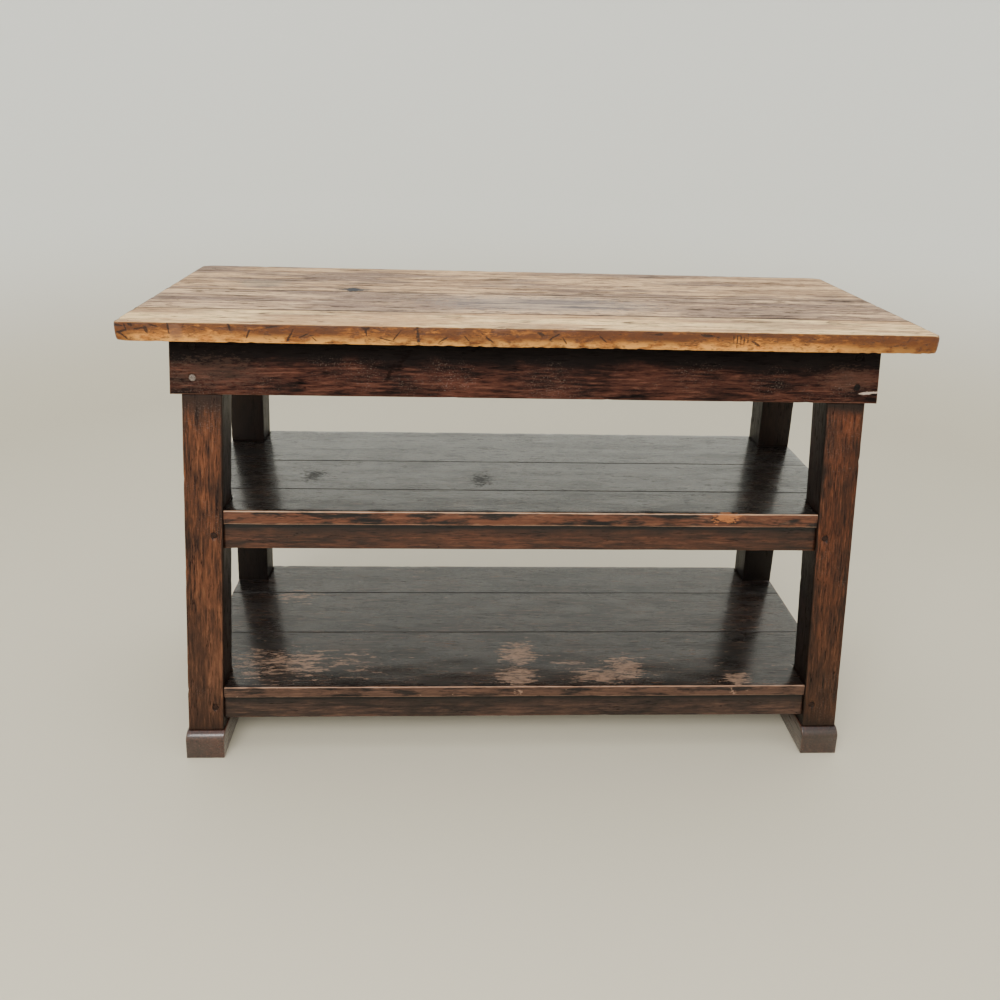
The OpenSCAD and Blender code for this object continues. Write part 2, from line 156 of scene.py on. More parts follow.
def new_group(name, inputs, outputs):
    """A shader node group with named sockets, and the sockets to build between."""
    tree = bpy.data.node_groups.new(name, "ShaderNodeTree")
    for label, kind, value in inputs:
        socket = tree.interface.new_socket(name=label, in_out="INPUT", socket_type="NodeSocket" + kind)
        socket.default_value = value
    for label, kind in outputs:
        tree.interface.new_socket(name=label, in_out="OUTPUT", socket_type="NodeSocket" + kind)
    start = tree.nodes.new("NodeGroupInput")
    end = tree.nodes.new("NodeGroupOutput")
    return tree, start.outputs, end.inputs


def place_group(tree, group, inputs):
    return add(tree, "Group", inputs, node_tree=group).outputs


def new_material(name):
    """A material with an empty Principled shader, ready for its finish."""
    material = bpy.data.materials.new(name)
    material.use_nodes = True
    tree = material.node_tree
    tree.nodes.clear()
    shader = add(tree, "BsdfPrincipled")
    add(tree, "OutputMaterial", {"Surface": shader.outputs[0]})
    return material, tree, shader


print("node helpers ready")

# %% [markdown]
# ## Stage
#
# A pale round room: a floor disc whose rim is drawn up into a wall through a quarter-round cove.
# A flat backdrop would do for one camera, but the table is looked at from all sides, and the waxed
# shelves reflect whatever stands behind them.

# %% Stage
FLOOR_RADIUS = 2.5
FLOOR_SIDES = 128
COVE_RADIUS = 0.8
COVE_STEPS = 10
WALL_TOP = 3.4


def draw_up_rim(bm, edges, scale, lift):
    """Extrudes the open rim once, then makes the new rim wider and higher."""
    drawn = bmesh.ops.extrude_edge_only(bm, edges=edges)["geom"]
    rim = [item for item in drawn if isinstance(item, bmesh.types.BMVert)]
    bmesh.ops.scale(bm, vec=(scale, scale, 1), verts=rim)
    bmesh.ops.translate(bm, vec=(0, 0, lift), verts=rim)
    return [item for item in drawn if isinstance(item, bmesh.types.BMEdge)]


def make_room():
    bm = bmesh.new()
    bmesh.ops.create_circle(bm, cap_ends=True, radius=FLOOR_RADIUS, segments=FLOOR_SIDES)
    rim = bm.edges[:]
    radius, height = FLOOR_RADIUS, 0.0
    for number in range(1, COVE_STEPS + 1):
        angle = math.pi / 2 * number / COVE_STEPS
        new_radius = FLOOR_RADIUS + COVE_RADIUS * math.sin(angle)
        new_height = COVE_RADIUS * (1 - math.cos(angle))
        rim = draw_up_rim(bm, rim, new_radius / radius, new_height - height)
        radius, height = new_radius, new_height
    draw_up_rim(bm, rim, 1, WALL_TOP - height)
    mesh = bpy.data.meshes.new("room")
    bm.to_mesh(mesh)
    bm.free()
    mesh.shade_smooth()
    room = bpy.data.objects.new("room", mesh)
    bpy.context.scene.collection.objects.link(room)
    return room


FLOOR_TONE = paint(204, 197, 178)
WALL_TONE = paint(236, 238, 234)

room = make_room()
room_paint, tree, shader = new_material("room_paint")
room_height = add(tree, "SeparateXYZ", {0: add(tree, "TexCoord").outputs["Object"]}).outputs[2]
room_tone = mix(tree, step(tree, room_height, 0.0, COVE_RADIUS), FLOOR_TONE, WALL_TONE)
tree.links.new(room_tone, shader.inputs["Base Color"])
shader.inputs["Roughness"].default_value = 0.85
room.data.materials.append(room_paint)
print("room:", len(room.data.polygons), "faces")

# %% [markdown]
# ## Light
#
# The daylight is soft and comes mostly from above and in front, so the overhanging worktop throws
# a dark band on the apron. One large panel in front, a wide one overhead and a dim sky do that.
# A sun lamp would give edges to the shadows that soft daylight doesn't have.

# %% Lights
KEY_POWER = 112
KEY_TINT = (1, 0.985, 0.95)
TOP_POWER = 52
TOP_TINT = (1, 0.985, 0.955)
SKY_STRENGTH = 0.8
SKY_COLOUR = (0.97, 0.97, 0.98, 1)


def soft_panel(name, place, aim, size, power, tint):
    """A flat lamp at a place, turned towards its aim. size is its width and height."""
    panel = bpy.data.lights.new(name, "AREA")
    panel.shape = "RECTANGLE"
    panel.size, panel.size_y = size
    panel.energy = power
    panel.color = tint
    light = bpy.data.objects.new(name, panel)
    light.location = place
    light.rotation_euler = (Vector(aim) - Vector(place)).to_track_quat("-Z", "Y").to_euler()
    bpy.context.scene.collection.objects.link(light)


soft_panel("key_panel", (-0.6, -2.7, 2.45), (0, 0, 0.6), (2.4, 1.3), KEY_POWER, KEY_TINT)
soft_panel("top_panel", (0.2, 0.5, 3.3), (0, 0, 0.5), (3.2, 3.2), TOP_POWER, TOP_TINT)
sky = bpy.data.worlds.new("sky")
sky.use_nodes = True
sky.node_tree.nodes["Background"].inputs["Color"].default_value = SKY_COLOUR
sky.node_tree.nodes["Background"].inputs["Strength"].default_value = SKY_STRENGTH
bpy.context.scene.world = sky
print("lights:", KEY_POWER, TOP_POWER, SKY_STRENGTH)

# %% [markdown]
# ## A timber, cleaned up for shaping
#
# The loaded meshes are loose triangles. A copy is merged, and flat neighbours are dissolved into
# single faces, which leaves each timber as the few faces that a joiner would count. Then its
# arrises, the long outer edges that hands and aprons rub against, are found: an edge is an arris
# when both its faces lie on the timber's outer hull. The walls of mortises and peg holes don't, so
# the joints stay crisp.

# %% Clean copy and arrises
MERGE_DISTANCE = 1e-5
FLAT_ANGLE = math.radians(0.4)
ARRIS_ANGLE = math.radians(25)
HULL_SLACK = 2e-4


def clean_copy(node):
    """A bmesh of a loaded piece, with its triangles merged into flat faces."""
    bm = bmesh.new()
    bm.from_mesh(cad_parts[node].data)
    bmesh.ops.remove_doubles(bm, verts=bm.verts, dist=MERGE_DISTANCE)
    bmesh.ops.dissolve_limit(bm, angle_limit=FLAT_ANGLE, verts=bm.verts, edges=bm.edges)
    return bm


def hull_faces(bm):
    """The faces that have the whole timber behind them."""
    corners = np.array([v.co for v in bm.verts])
    found = set()
    for face in bm.faces:
        ahead = (corners - np.array(face.verts[0].co)) @ np.array(face.normal)
        if ahead.max() < HULL_SLACK:
            found.add(face)
    return found


def find_arrises(bm):
    outer = hull_faces(bm)
    arrises = []
    for edge in bm.edges:
        if len(edge.link_faces) == 2 and outer.issuperset(edge.link_faces):
            if edge.calc_face_angle() > ARRIS_ANGLE:
                arrises.append(edge)
    return arrises


sample = clean_copy("post_back_right")
sample_arrises = find_arrises(sample)
longest = max(sample_arrises, key=lambda edge: edge.calc_length())
rake = longest.verts[0].co - longest.verts[1].co
LEAN_X = abs(rake.x / rake.z)
LEAN_Y = abs(rake.y / rake.z)
sample.free()
print("legs lean", round(LEAN_X, 4), "along the length and", round(LEAN_Y, 4), "front to back")

# %% [markdown]
# ## Slicing
#
# To be worn, a face needs points. A subdivision would spread them unevenly over these long thin
# shapes, so parallel planes slice the timber instead, as an egg slicer does: fewest along the
# grain, more across it, and two close lines beside each outer side, where the wear is strongest.

# %% Slicing
EDGE_LINES = (0.0025, 0.0065)
SLICE_MERGE = 1e-5
COARSE = 1


def rows(low, high, pitch):
    """Where to slice between two outer sides: close beside each side, evenly between."""
    inner = EDGE_LINES[-1]
    close = [side for line in EDGE_LINES for side in (low + line, high - line)]
    count = max(1, round((high - low - 2 * inner) / (pitch * COARSE)))
    even = list(np.linspace(low + inner, high - inner, count + 1)[1:-1])
    return sorted(close + even)


def straighten(points, lean):
    """Takes out the lean, so that a raked timber's faces are square to the axes."""
    points = np.array(points, float)
    points[:, 0] -= lean[0] * points[:, 2]
    points[:, 1] -= lean[1] * points[:, 2]
    return points


def slice_timber(bm, lean, pitches, order):
    """Slices at even places along each axis in turn, with planes that follow the timber's lean."""
    points = straighten([v.co for v in bm.verts], lean)
    low, high = points.min(0), points.max(0)
    normals = ((1, 0, -lean[0]), (0, 1, -lean[1]), (0, 0, 1))
    for axis in order:
        for place in rows(low[axis], high[axis], pitches[axis]):
            at = [0, 0, 0]
            at[axis] = place
            everything = bm.verts[:] + bm.edges[:] + bm.faces[:]
            bmesh.ops.bisect_plane(
                bm, geom=everything, dist=SLICE_MERGE, plane_co=at, plane_no=normals[axis]
            )


print("slicing pitch multiplied by", COARSE)

# %% [markdown]
# ## Wear
#
# Wear is a small inward move of each point. A sum of a few sine waves with random directions makes
# the waviness of hand planing, the distance to the nearest arris rounds the edges over, and small
# dents are pressed in at random places along them. A displacement modifier would move every point
# by one pattern, while these moves know where the arrises are. The draws are seeded, so each run is
# the same.

# %% Wear
WAVES = 14
WAVE_HEIGHT = 2.8


def waviness(points, wavelength, seed):
    """Smooth noise from 0 to 1 over an array of points."""
    draw = np.random.default_rng(seed)
    total = np.zeros(len(points))
    for _ in range(WAVES):
        direction = draw.normal(size=3)
        turns = draw.uniform(0.6, 1.6) / wavelength
        phase = draw.uniform(0, 1)
        total += np.sin(2 * np.pi * (points @ (direction / np.linalg.norm(direction)) * turns + phase))
    return np.clip(0.5 + total / math.sqrt(WAVES) / WAVE_HEIGHT, 0, 1)


def distance_to_lines(points, lines):
    """The distance from each point to the nearest of some straight lines."""
    nearest = np.full(len(points), 1.0)
    for start, end in lines:
        along = end - start
        share = np.clip((points - start) @ along / (along @ along), 0, 1)
        gap = np.linalg.norm(points - start - share[:, None] * along, axis=1)
        nearest = np.minimum(nearest, gap)
    return nearest


def press_dents(points, lines, count, size, depth, seed):
    """How far each point is pushed in by round dents that lie along the lines."""
    draw = np.random.default_rng(seed)
    lengths = np.array([np.linalg.norm(end - start) for start, end in lines])
    pushed = np.zeros(len(points))
    for _ in range(count):
        start, end = lines[draw.choice(len(lines), p=lengths / lengths.sum())]
        centre = start + (end - start) * draw.uniform(0, 1)
        radius = size * draw.uniform(0.6, 1.5)
        deep = depth * draw.uniform(0.3, 1) ** 2
        gap = np.linalg.norm(points - centre, axis=1) / radius
        pushed = np.maximum(pushed, deep * np.clip(1 - gap**2, 0, 1) ** 2)
    return pushed


print("wear: sums of", WAVES, "waves")

# %% [markdown]
# ## From a loaded piece to a worn timber
#
# One function does the whole job for every timber, so each family of pieces only states what is
# its own: which way its grain runs, how it leans, how hard it was worn. Three things are written on
# the points for the finishes to read. `grain` is the place of the point in its own plank, with the
# first axis along the grain and with a shift of its own, so that no two planks come from the same
# stretch of tree. `arris` and `seam` are the distances to the nearest outer edge and to the nearest
# edge that is butted against a neighbour.

# %% Timber
GRAIN_AXES = {"x": (0, 1, 2), "y": (1, 0, 2), "z": (2, 0, 1)}
PITCH_ALONG = 0.009
PITCH_ACROSS = 0.009
SEAM_TOLERANCE = 0.002
PLANING_WAVELENGTH = 0.06
PLANING_STRETCH = (0.22, 1, 1)
RUBBING_WAVELENGTH = 0.09
END_EDGE_MAX = 0.02
END_REACH = 0.011
TREE_LENGTH = 40
PITH_ASIDE = 0.03
PITH_BELOW = -0.09
SHARP_ANGLE = math.radians(50)
made_timbers = {}


def sort_edges(arrises, seams):
    """The ends of each arris, as two lists: the free ones and those that are butted at a seam."""
    free, butted = [], []
    for edge in arrises:
        ends = [np.array(v.co, float) for v in edge.verts]
        along_x = abs(ends[0][1] - ends[1][1]) < SEAM_TOLERANCE
        at_seam = any(abs(ends[0][1] - y) < SEAM_TOLERANCE for y in seams)
        (butted if along_x and at_seam else free).append(ends)
    return free, butted


def put_in_place(node, mesh):
    """Makes the mesh an object that stands for the loaded piece."""
    mesh.shade_smooth()
    mesh.set_sharp_from_angle(angle=SHARP_ANGLE)
    piece = bpy.data.objects.new("oak_" + node, mesh)
    bpy.context.scene.collection.objects.link(piece)
    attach(piece, "root")
    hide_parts(node)
    made_timbers[node] = piece


def timber(
    node,
    grain="x",
    lean=(0, 0),
    ease=0.0015,
    segments=2,
    planed=0.0004,
    rounding=0.0006,
    rounding_reach=0.007,
    end_rounding=0.0,
    dents=20,
    dent_size=0.009,
    dent_depth=0.0012,
    seams=(),
    along=PITCH_ALONG,
):
    """A worn copy of one loaded piece. ease is the width of its bevels, planed the depth of its
    waviness and seams are the Y places where it is butted to a neighbour."""
    seed = sorted(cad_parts).index(node)
    bm = clean_copy(node)
    arrises = find_arrises(bm)
    lines, butted = sort_edges(arrises, seams)
    bmesh.ops.bevel(
        bm, geom=arrises, offset=ease, offset_type="OFFSET", segments=segments, profile=0.5,
        affect="EDGES", clamp_overlap=True, material=-1,
    )
    axis, side, depth = GRAIN_AXES[grain]
    pitches = [PITCH_ACROSS] * 3
    pitches[axis] = along
    slice_timber(bm, lean, pitches, (axis, side, depth))
    bm.normal_update()
    points = np.array([v.co for v in bm.verts], float)
    normals = np.array([v.normal for v in bm.verts], float)
    to_arris = distance_to_lines(points, lines)
    to_seam = distance_to_lines(points, butted)

    straight = straighten(points, lean)
    middle = (straight.min(0) + straight.max(0)) / 2
    wood = (straight - middle)[:, (axis, side, depth)]
    inward = planed * waviness(wood * PLANING_STRETCH, PLANING_WAVELENGTH, seed)
    worn = 0.35 + 0.65 * waviness(wood, RUBBING_WAVELENGTH, seed + 100)
    inward += rounding * worn * np.clip(1 - to_arris / rounding_reach, 0, 1) ** 2
    if end_rounding:
        ends = [line for line in lines if abs((line[1] - line[0])[axis]) < END_EDGE_MAX]
        to_end = distance_to_lines(points, ends)
        inward += end_rounding * np.clip(1 - to_end / END_REACH, 0, 1) ** 2
    if dents and lines:
        count = dents
        inward += press_dents(points, lines, count, dent_size, dent_depth, seed + 200)
    points -= normals * inward[:, None]

    mesh = bpy.data.meshes.new("oak_" + node)
    bm.to_mesh(mesh)
    bm.free()
    mesh.vertices.foreach_set("co", points.astype(np.float32).ravel())
    draw = np.random.default_rng(seed + 300)
    shift = np.array((
        draw.uniform(0, TREE_LENGTH),
        PITH_ASIDE * draw.uniform(-1, 1),
        PITH_BELOW * draw.uniform(0.6, 1.4),
    ))
    for name, kind, field, values in (
        ("grain", "FLOAT_VECTOR", "vector", wood + shift),
        ("arris", "FLOAT", "value", to_arris),
        ("seam", "FLOAT", "value", to_seam),
    ):
        attribute = mesh.attributes.new(name, kind, "POINT")
        attribute.data.foreach_set(field, values.astype(np.float32).ravel())
    mesh.update()
    put_in_place(node, mesh)


def around(places, slack):
    """Each place, and the places a little to both sides of it."""
    return [place + shift for place in places for shift in (-slack, 0, slack)]


def describe(nodes):
    print(", ".join(f"{node} {len(made_timbers[node].data.polygons)} faces" for node in nodes))


print("grain axes:", GRAIN_AXES)

# %% [markdown]
# ## Worktop
#
# Three planks laid edge to edge. The front one takes the knocks, so it carries the most dents. The
# seams stay tight, with only a slight easing that makes a dark line.

# %% Worktop planks
TOP_SEAM_SLACK = 0.0006
top_low, top_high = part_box("top_plank_front")
top_seams = [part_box("top_plank_middle")[i].y for i in (0, 1)]
TOP_Z = top_high.z
TOP_FRONT_Y = top_low.y
for node, dents, along in (
    ("top_plank_front", 110, 0.005),
    ("top_plank_middle", 12, 0.011),
    ("top_plank_rear", 60, 0.011),
):
    timber(
        node, ease=0.0010, planed=0.0003, rounding=0.0007, rounding_reach=0.006, end_rounding=0.0022,
        dents=dents, dent_size=0.007, dent_depth=0.0020, seams=around(top_seams, TOP_SEAM_SLACK),
        along=along,
    )
print("worktop seams at", [round(y, 3) for y in top_seams])
describe(["top_plank_front", "top_plank_middle", "top_plank_rear"])

# %% [markdown]
# ## Aprons
#
# Deep beams under the worktop. The long ones lap over the leg heads and run past them, so their
# lower arrises and ends are rubbed. The short ones are set back and hardly touched. All of them
# lean with the legs, so their faces are sliced by leaning planes.

# %% Aprons
for node, lean_y in (("apron_front", LEAN_Y), ("apron_back", -LEAN_Y)):
    timber(node, lean=(0, lean_y), ease=0.0010, planed=0.0003, dents=34, dent_depth=0.0012)
for node, lean_x in (("apron_left", LEAN_X), ("apron_right", -LEAN_X)):
    timber(node, grain="y", lean=(lean_x, 0), ease=0.001, dents=6)
describe(["apron_front", "apron_left"])

# %% [markdown]
# ## Legs
#
# Square posts raked both ways. Their arrises were planed off a little when new and rubbed rounder
# since.

# %% Legs
for node, side_x, side_y in (
    ("post_front_left", -1, -1),
    ("post_front_right", 1, -1),
    ("post_back_left", -1, 1),
    ("post_back_right", 1, 1),
):
    timber(
        node, grain="z", lean=(-side_x * LEAN_X, -side_y * LEAN_Y), ease=0.0018, segments=3,
        planed=0.0004, rounding=0.0009, dents=36, dent_size=0.009, dent_depth=0.0015,
    )
describe(["post_front_left"])

# %% [markdown]
# ## Rails
#
# A frame of four rails carries each shelf. They are tenoned into the legs and set back from the
# outer faces, so their visible arrises are the two long outer ones.

# %% Rails
for level in ("mid", "low"):
    for side, lean_y in (("front", LEAN_Y), ("back", -LEAN_Y)):
        timber(f"{level}_rail_{side}", lean=(0, lean_y), ease=0.0012, dents=14, along=0.012)
    for side, lean_x in (("left", LEAN_X), ("right", -LEAN_X)):
        timber(f"{level}_rail_{side}", grain="y", lean=(lean_x, 0), ease=0.0012, dents=6)
describe(["mid_rail_front", "mid_rail_left"])

# %% [markdown]
# ## Shelves
#
# Each shelf is three planks notched round the legs. The front arris of each is the one that things
# are slid over, so it is the most worn.

# %% Shelf planks
SHELF_SEAM_SLACK = 0.0012
for level in ("mid", "low"):
    shelf_seams = [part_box(f"{level}_shelf_plank_middle")[i].y for i in (0, 1)]
    for part, dents in (("front", 26), ("middle", 0), ("rear", 26)):
        timber(
            f"{level}_shelf_plank_{part}", ease=0.0012, planed=0.0005, rounding=0.0009, dents=dents,
            dent_depth=0.0014, seams=around(shelf_seams, SHELF_SEAM_SLACK), along=0.012,
        )
describe(["mid_shelf_plank_front", "low_shelf_plank_front"])

# %% [markdown]
# ## Runners
#
# The two sledge feet run front to back, with noses rounded in profile. Everything that was ever
# pushed against the table has polished those noses.

# %% Runners
for node, lean_x in (("runner_left", LEAN_X), ("runner_right", -LEAN_X)):
    timber(
        node, grain="y", lean=(lean_x, 0), ease=0.0022, segments=3, planed=0.0006,
        rounding=0.0012, dents=16, dent_size=0.010, dent_depth=0.0016,
    )
face_count = sum(len(piece.data.polygons) for piece in made_timbers.values())
print("timbers:", len(made_timbers), "with", face_count, "faces")

# %% [markdown]
# ## Wood grain
#
# Oak has growth rings, long colour streaks, short dark pores and, when it is old and dry, fine
# splits. Each is a pattern stretched along the grain, and they are put in one group so that every
# finish draws them the same way. The group reads the `grain` place, in metres, so a plank's figure
# runs along it and round its edges as real wood does. A printed veneer would repeat itself and
# would not turn the corner.


# %% Wood grain group
def make_grain_group():
    tree, given, result = new_group(
        "wood_grain",
        [
            ("Vector", "Vector", (0, 0, 0)),
            ("Ring Spacing", "Float", 0.006),
            ("Split Width", "Float", 0.02),
        ],
        [(label, "Float") for label in ("Rings", "Figure", "Streaks", "Pores", "Splits")],
    )
    place = given["Vector"]
    drawn = stretch(tree, place, (0.35, 3.0, 3.0))
    bend = add(tree, "TexNoise", {"Vector": drawn, "Scale": 2.0, "Detail": 3.0}).outputs["Color"]
    bend = vector_maths(tree, "SUBTRACT", bend, (0.5, 0.5, 0.5))
    bend = stretch(tree, bend, (0, 0.05, 0.05))
    bent = vector_maths(tree, "ADD", stretch(tree, place, (0.02, 1, 1)), bend)
    split = add(tree, "SeparateXYZ", {0: bent})
    squares = [maths(tree, "POWER", split.outputs[n], 2.0) for n in (1, 2)]
    radius = maths(tree, "SQRT", maths(tree, "ADD", *squares))
    rings = maths(tree, "FRACT", maths(tree, "DIVIDE", radius, given["Ring Spacing"]))
    late = times(tree, step(tree, rings, 0.25, 0.9), step(tree, rings, 1.0, 0.93))
    tree.links.new(late, result["Rings"])

    figure = noise(tree, stretch(tree, place, (3.2, 34, 34)), 1.0, 5, 0.6)
    tree.links.new(figure, result["Figure"])
    streaks = noise(tree, stretch(tree, place, (20, 210, 210)), 1.0, 6, 0.74)
    tree.links.new(streaks, result["Streaks"])
    pores = noise(tree, stretch(tree, place, (45, 430, 430)), 1.0, 2, 0.5)
    pores = times(tree, step(tree, pores, 0.57, 0.66), step(tree, rings, 0.95, 0.3))
    tree.links.new(pores, result["Pores"])

    lines = noise(tree, stretch(tree, place, (7, 95, 95)), 1.0, 3, 0.55)
    off_line = maths(tree, "ABSOLUTE", maths(tree, "SUBTRACT", lines, 0.5))
    areas = noise(tree, stretch(tree, place, (9, 40, 40)), 1.0, 3, 0.6)
    line_heart = times(tree, given["Split Width"], 0.3)
    line = step(tree, off_line, given["Split Width"], line_heart)
    splits = times(tree, line, step(tree, areas, 0.52, 0.6))
    tree.links.new(splits, result["Splits"])
    return tree


WOOD_GRAIN = make_grain_group()
print("wood grain group:", len(WOOD_GRAIN.nodes), "nodes")

# %% [markdown]
# ## Blotches, edge wear, marks and dust
#
# The other effects are masks between 0 and 1. Blotches are cloudy areas of old stain. Edge wear
# rises towards an arris, broken up by noise so that it never makes an even line. A mark is one
# scratch, stain or rubbed patch at a chosen place, with a ragged outline. Dust lies on what faces
# up. Keeping them apart from the finishes lets each finish mix them in its own strength.


# %% Mask groups
def make_blotch_group():
    tree, given, result = new_group(
        "blotches",
        [
            ("Vector", "Vector", (0, 0, 0)),
            ("Scale", "Float", 8.0),
            ("Low", "Float", 0.45),
            ("High", "Float", 0.6),
        ],
        [("Mask", "Float")],
    )
    cloud = noise(tree, given["Vector"], given["Scale"], 5, 0.6)
    tree.links.new(step(tree, cloud, given["Low"], given["High"]), result["Mask"])
    return tree


def make_edge_wear_group():
    tree, given, result = new_group(
        "edge_wear",
        [("Vector", "Vector", (0, 0, 0)), ("Distance", "Float", 0.01), ("Reach", "Float", 0.004)],
        [("Mask", "Float")],
    )
    ragged = noise(tree, stretch(tree, given["Vector"], (22, 90, 90)), 1.0, 4, 0.65)
    reach = times(tree, given["Reach"], times(tree, ragged, 2.0))
    near = maths(tree, "DIVIDE", given["Distance"], maths(tree, "ADD", reach, 0.0001))
    tree.links.new(step(tree, near, 1.15, 0.35), result["Mask"])
    return tree


def make_mark_group():
    tree, given, result = new_group(
        "mark",
        [
            ("Vector", "Vector", (0, 0, 0)),
            ("Centre", "Vector", (0, 0, 0)),
            ("Half Size", "Vector", (0.1, 0.1, 0.1)),
            ("Tilt", "Float", 0.0),
            ("Ragged", "Float", 0.5),
        ],
        [("Mask", "Float"), ("Nearness", "Float")],
    )
    away = vector_maths(tree, "SUBTRACT", given["Vector"], given["Centre"])
    turn = {"Vector": away, "Angle": given["Tilt"]}
    turned = add(tree, "VectorRotate", turn, rotation_type="Y_AXIS").outputs[0]
    shares = vector_maths(tree, "DIVIDE", turned, given["Half Size"])
    reach = add(tree, "VectorMath", {0: shares}, operation="LENGTH").outputs["Value"]
    torn = noise(tree, stretch(tree, given["Vector"], (90, 260, 260)), 1.0, 4, 0.7)
    torn = times(tree, maths(tree, "SUBTRACT", torn, 0.5), given["Ragged"])
    tree.links.new(maths(tree, "SUBTRACT", 1.0, reach, clamp=True), result["Nearness"])
    reach = maths(tree, "ADD", reach, times(tree, torn, 4.0))
    tree.links.new(step(tree, reach, 1.0, 0.65), result["Mask"])
    return tree


def make_dust_group():
    tree, given, result = new_group(
        "dust",
        [("Vector", "Vector", (0, 0, 0)), ("Normal", "Vector", (0, 0, 1)), ("Amount", "Float", 0.3)],
        [("Mask", "Float")],
    )
    upward = add(tree, "SeparateXYZ", {0: given["Normal"]}).outputs[2]
    cloud = noise(tree, given["Vector"], 14.0, 6, 0.7)
    settled = times(tree, step(tree, upward, 0.6, 0.95), step(tree, cloud, 0.3, 0.75))
    tree.links.new(times(tree, settled, given["Amount"]), result["Mask"])
    return tree


BLOTCHES = make_blotch_group()
EDGE_WEAR = make_edge_wear_group()
MARK = make_mark_group()
DUST = make_dust_group()
print("mask groups:", ", ".join(group.name for group in (BLOTCHES, EDGE_WEAR, MARK, DUST)))

# %% [markdown]
# ## Reading a surface
#
# Every timber finish starts from the same few facts about a point: its place in the plank, its
# distances to arris and seam, its place in the table and the way it faces. They are fetched once
# per material and handed to the helpers that place the masks.


# %% Placing the masks

def surface(tree):
    """The places and distances that every timber finish reads."""
    coordinates = add(tree, "TexCoord")
    return {
        "grain": add(tree, "Attribute", attribute_name="grain").outputs["Vector"],
        "arris": add(tree, "Attribute", attribute_name="arris").outputs["Fac"],
        "seam": add(tree, "Attribute", attribute_name="seam").outputs["Fac"],
        "place": coordinates.outputs["Object"],
        "normal": coordinates.outputs["Normal"],
    }


def blotches(tree, vector, scale, low, high):
    inputs = {"Vector": vector, "Scale": scale, "Low": low, "High": high}
    return place_group(tree, BLOTCHES, inputs)["Mask"]


def edge_wear(tree, read, reach, distance="arris"):
    inputs = {"Vector": read["grain"], "Distance": read[distance], "Reach": reach}
    return place_group(tree, EDGE_WEAR, inputs)["Mask"]


def mark(tree, read, centre, half_size, tilt, ragged, output="Mask"):
    """The mask of one mark. Its tilt is in degrees, about the line that runs front to back."""
    inputs = {
        "Vector": read["place"], "Centre": centre, "Half Size": half_size,
        "Tilt": math.radians(tilt), "Ragged": ragged,
    }
    return place_group(tree, MARK, inputs)[output]


def strongest(tree, masks):
    """Joins several masks into one."""
    total = masks[0]
    for mask in masks[1:]:
        total = maths(tree, "MAXIMUM", total, mask)
    return total


def carve(tree, shader, height, strength, distance):
    bump = add(tree, "Bump", {"Height": height, "Strength": strength, "Distance": distance})
    tree.links.new(bump.outputs[0], shader.inputs["Normal"])


print("placing helpers ready")

# %% [markdown]
# ## Worktop finish
#
# Years of scrubbing have bleached the top to a dry pale tan with darker streaks and open splits,
# while the edges kept their honey-brown polish, darker along the upper arris where hands touch.
# The two looks are one material: the way a point faces decides which it gets, so they blend over
# the rounded arris. Each plank has its own pair of tones, because each is from another tree.

# %% Cracks in the front edge
EDGE_CRACKS = (
    # x, height share of the edge, half length, half width, tilt in degrees
    (-0.688, 0.80, 0.009, 0.0024, -8),
    (-0.676, 0.72, 0.007, 0.0020, -78),
    (-0.682, 0.52, 0.010, 0.0016, 12),
    (-0.668, 0.86, 0.006, 0.0034, -50),
    (-0.680, 0.26, 0.011, 0.0020, -40),
    (-0.655, 0.66, 0.009, 0.0016, 6),
    (-0.643, 0.60, 0.006, 0.0034, -70),
    (-0.632, 0.82, 0.008, 0.0014, -10),
    (-0.607, 0.72, 0.012, 0.0018, -86),
    (-0.508, 0.80, 0.007, 0.0022, -75),
    (-0.478, 0.50, 0.013, 0.0016, 66),
    (-0.440, 0.84, 0.010, 0.0018, 8),
    (-0.410, 0.42, 0.012, 0.0018, 60),
    (-0.386, 0.45, 0.010, 0.0014, 25),
    (-0.372, 0.30, 0.008, 0.0014, -40),
    (-0.288, 0.86, 0.010, 0.0026, -4),
    (-0.285, 0.70, 0.009, 0.0020, -84),
    (-0.252, 0.30, 0.017, 0.0014, -14),
    (-0.234, 0.52, 0.013, 0.0013, 50),
    (-0.199, 0.55, 0.014, 0.0030, -86),
    (-0.158, 0.32, 0.011, 0.0014, 32),
    (-0.117, 0.40, 0.011, 0.0015, -48),
    (-0.081, 0.42, 0.013, 0.0016, -38),
    (0.006, 0.72, 0.007, 0.0030, -10),
    (0.030, 0.60, 0.011, 0.0015, 30),
    (0.047, 0.38, 0.008, 0.0015, -55),
    (0.112, 0.50, 0.012, 0.0012, -42),
    (0.205, 0.80, 0.014, 0.0020, 5),
    (0.289, 0.78, 0.015, 0.0030, -6),
    (0.335, 0.62, 0.013, 0.0011, -84),
    (0.341, 0.58, 0.016, 0.0012, -86),
    (0.347, 0.64, 0.012, 0.0011, -84),
    (0.353, 0.60, 0.011, 0.0011, -88),
    (0.359, 0.68, 0.009, 0.0011, -85),
    (0.375, 0.40, 0.011, 0.0030, -28),
)
EDGE_DEPTH = 0.012
edge_height = top_high.z - top_low.z
print("edge", round(edge_height, 4), "high with", len(EDGE_CRACKS), "cracks")


# %% Upper face of the worktop

def dashes(tree, read, along, across, rarity):
    """Dark lines along the grain, about so many to the metre along it and across it."""
    place = stretch(tree, read["grain"], (along, across, across))
    return blotches(tree, place, 1.0, rarity, rarity + 0.035)


def apply_marks(tree, read, colour, marks):
    """Lays each mark over a colour. Returns the colour and the mask of all the marks together."""
    masks = []
    for centre, half_size, tilt, ragged, tone, amount in marks:
        spot = times(tree, mark(tree, read, centre, half_size, tilt, ragged), amount)
        colour = mix(tree, spot, colour, tone)
        masks.append(spot)
    return colour, strongest(tree, masks)


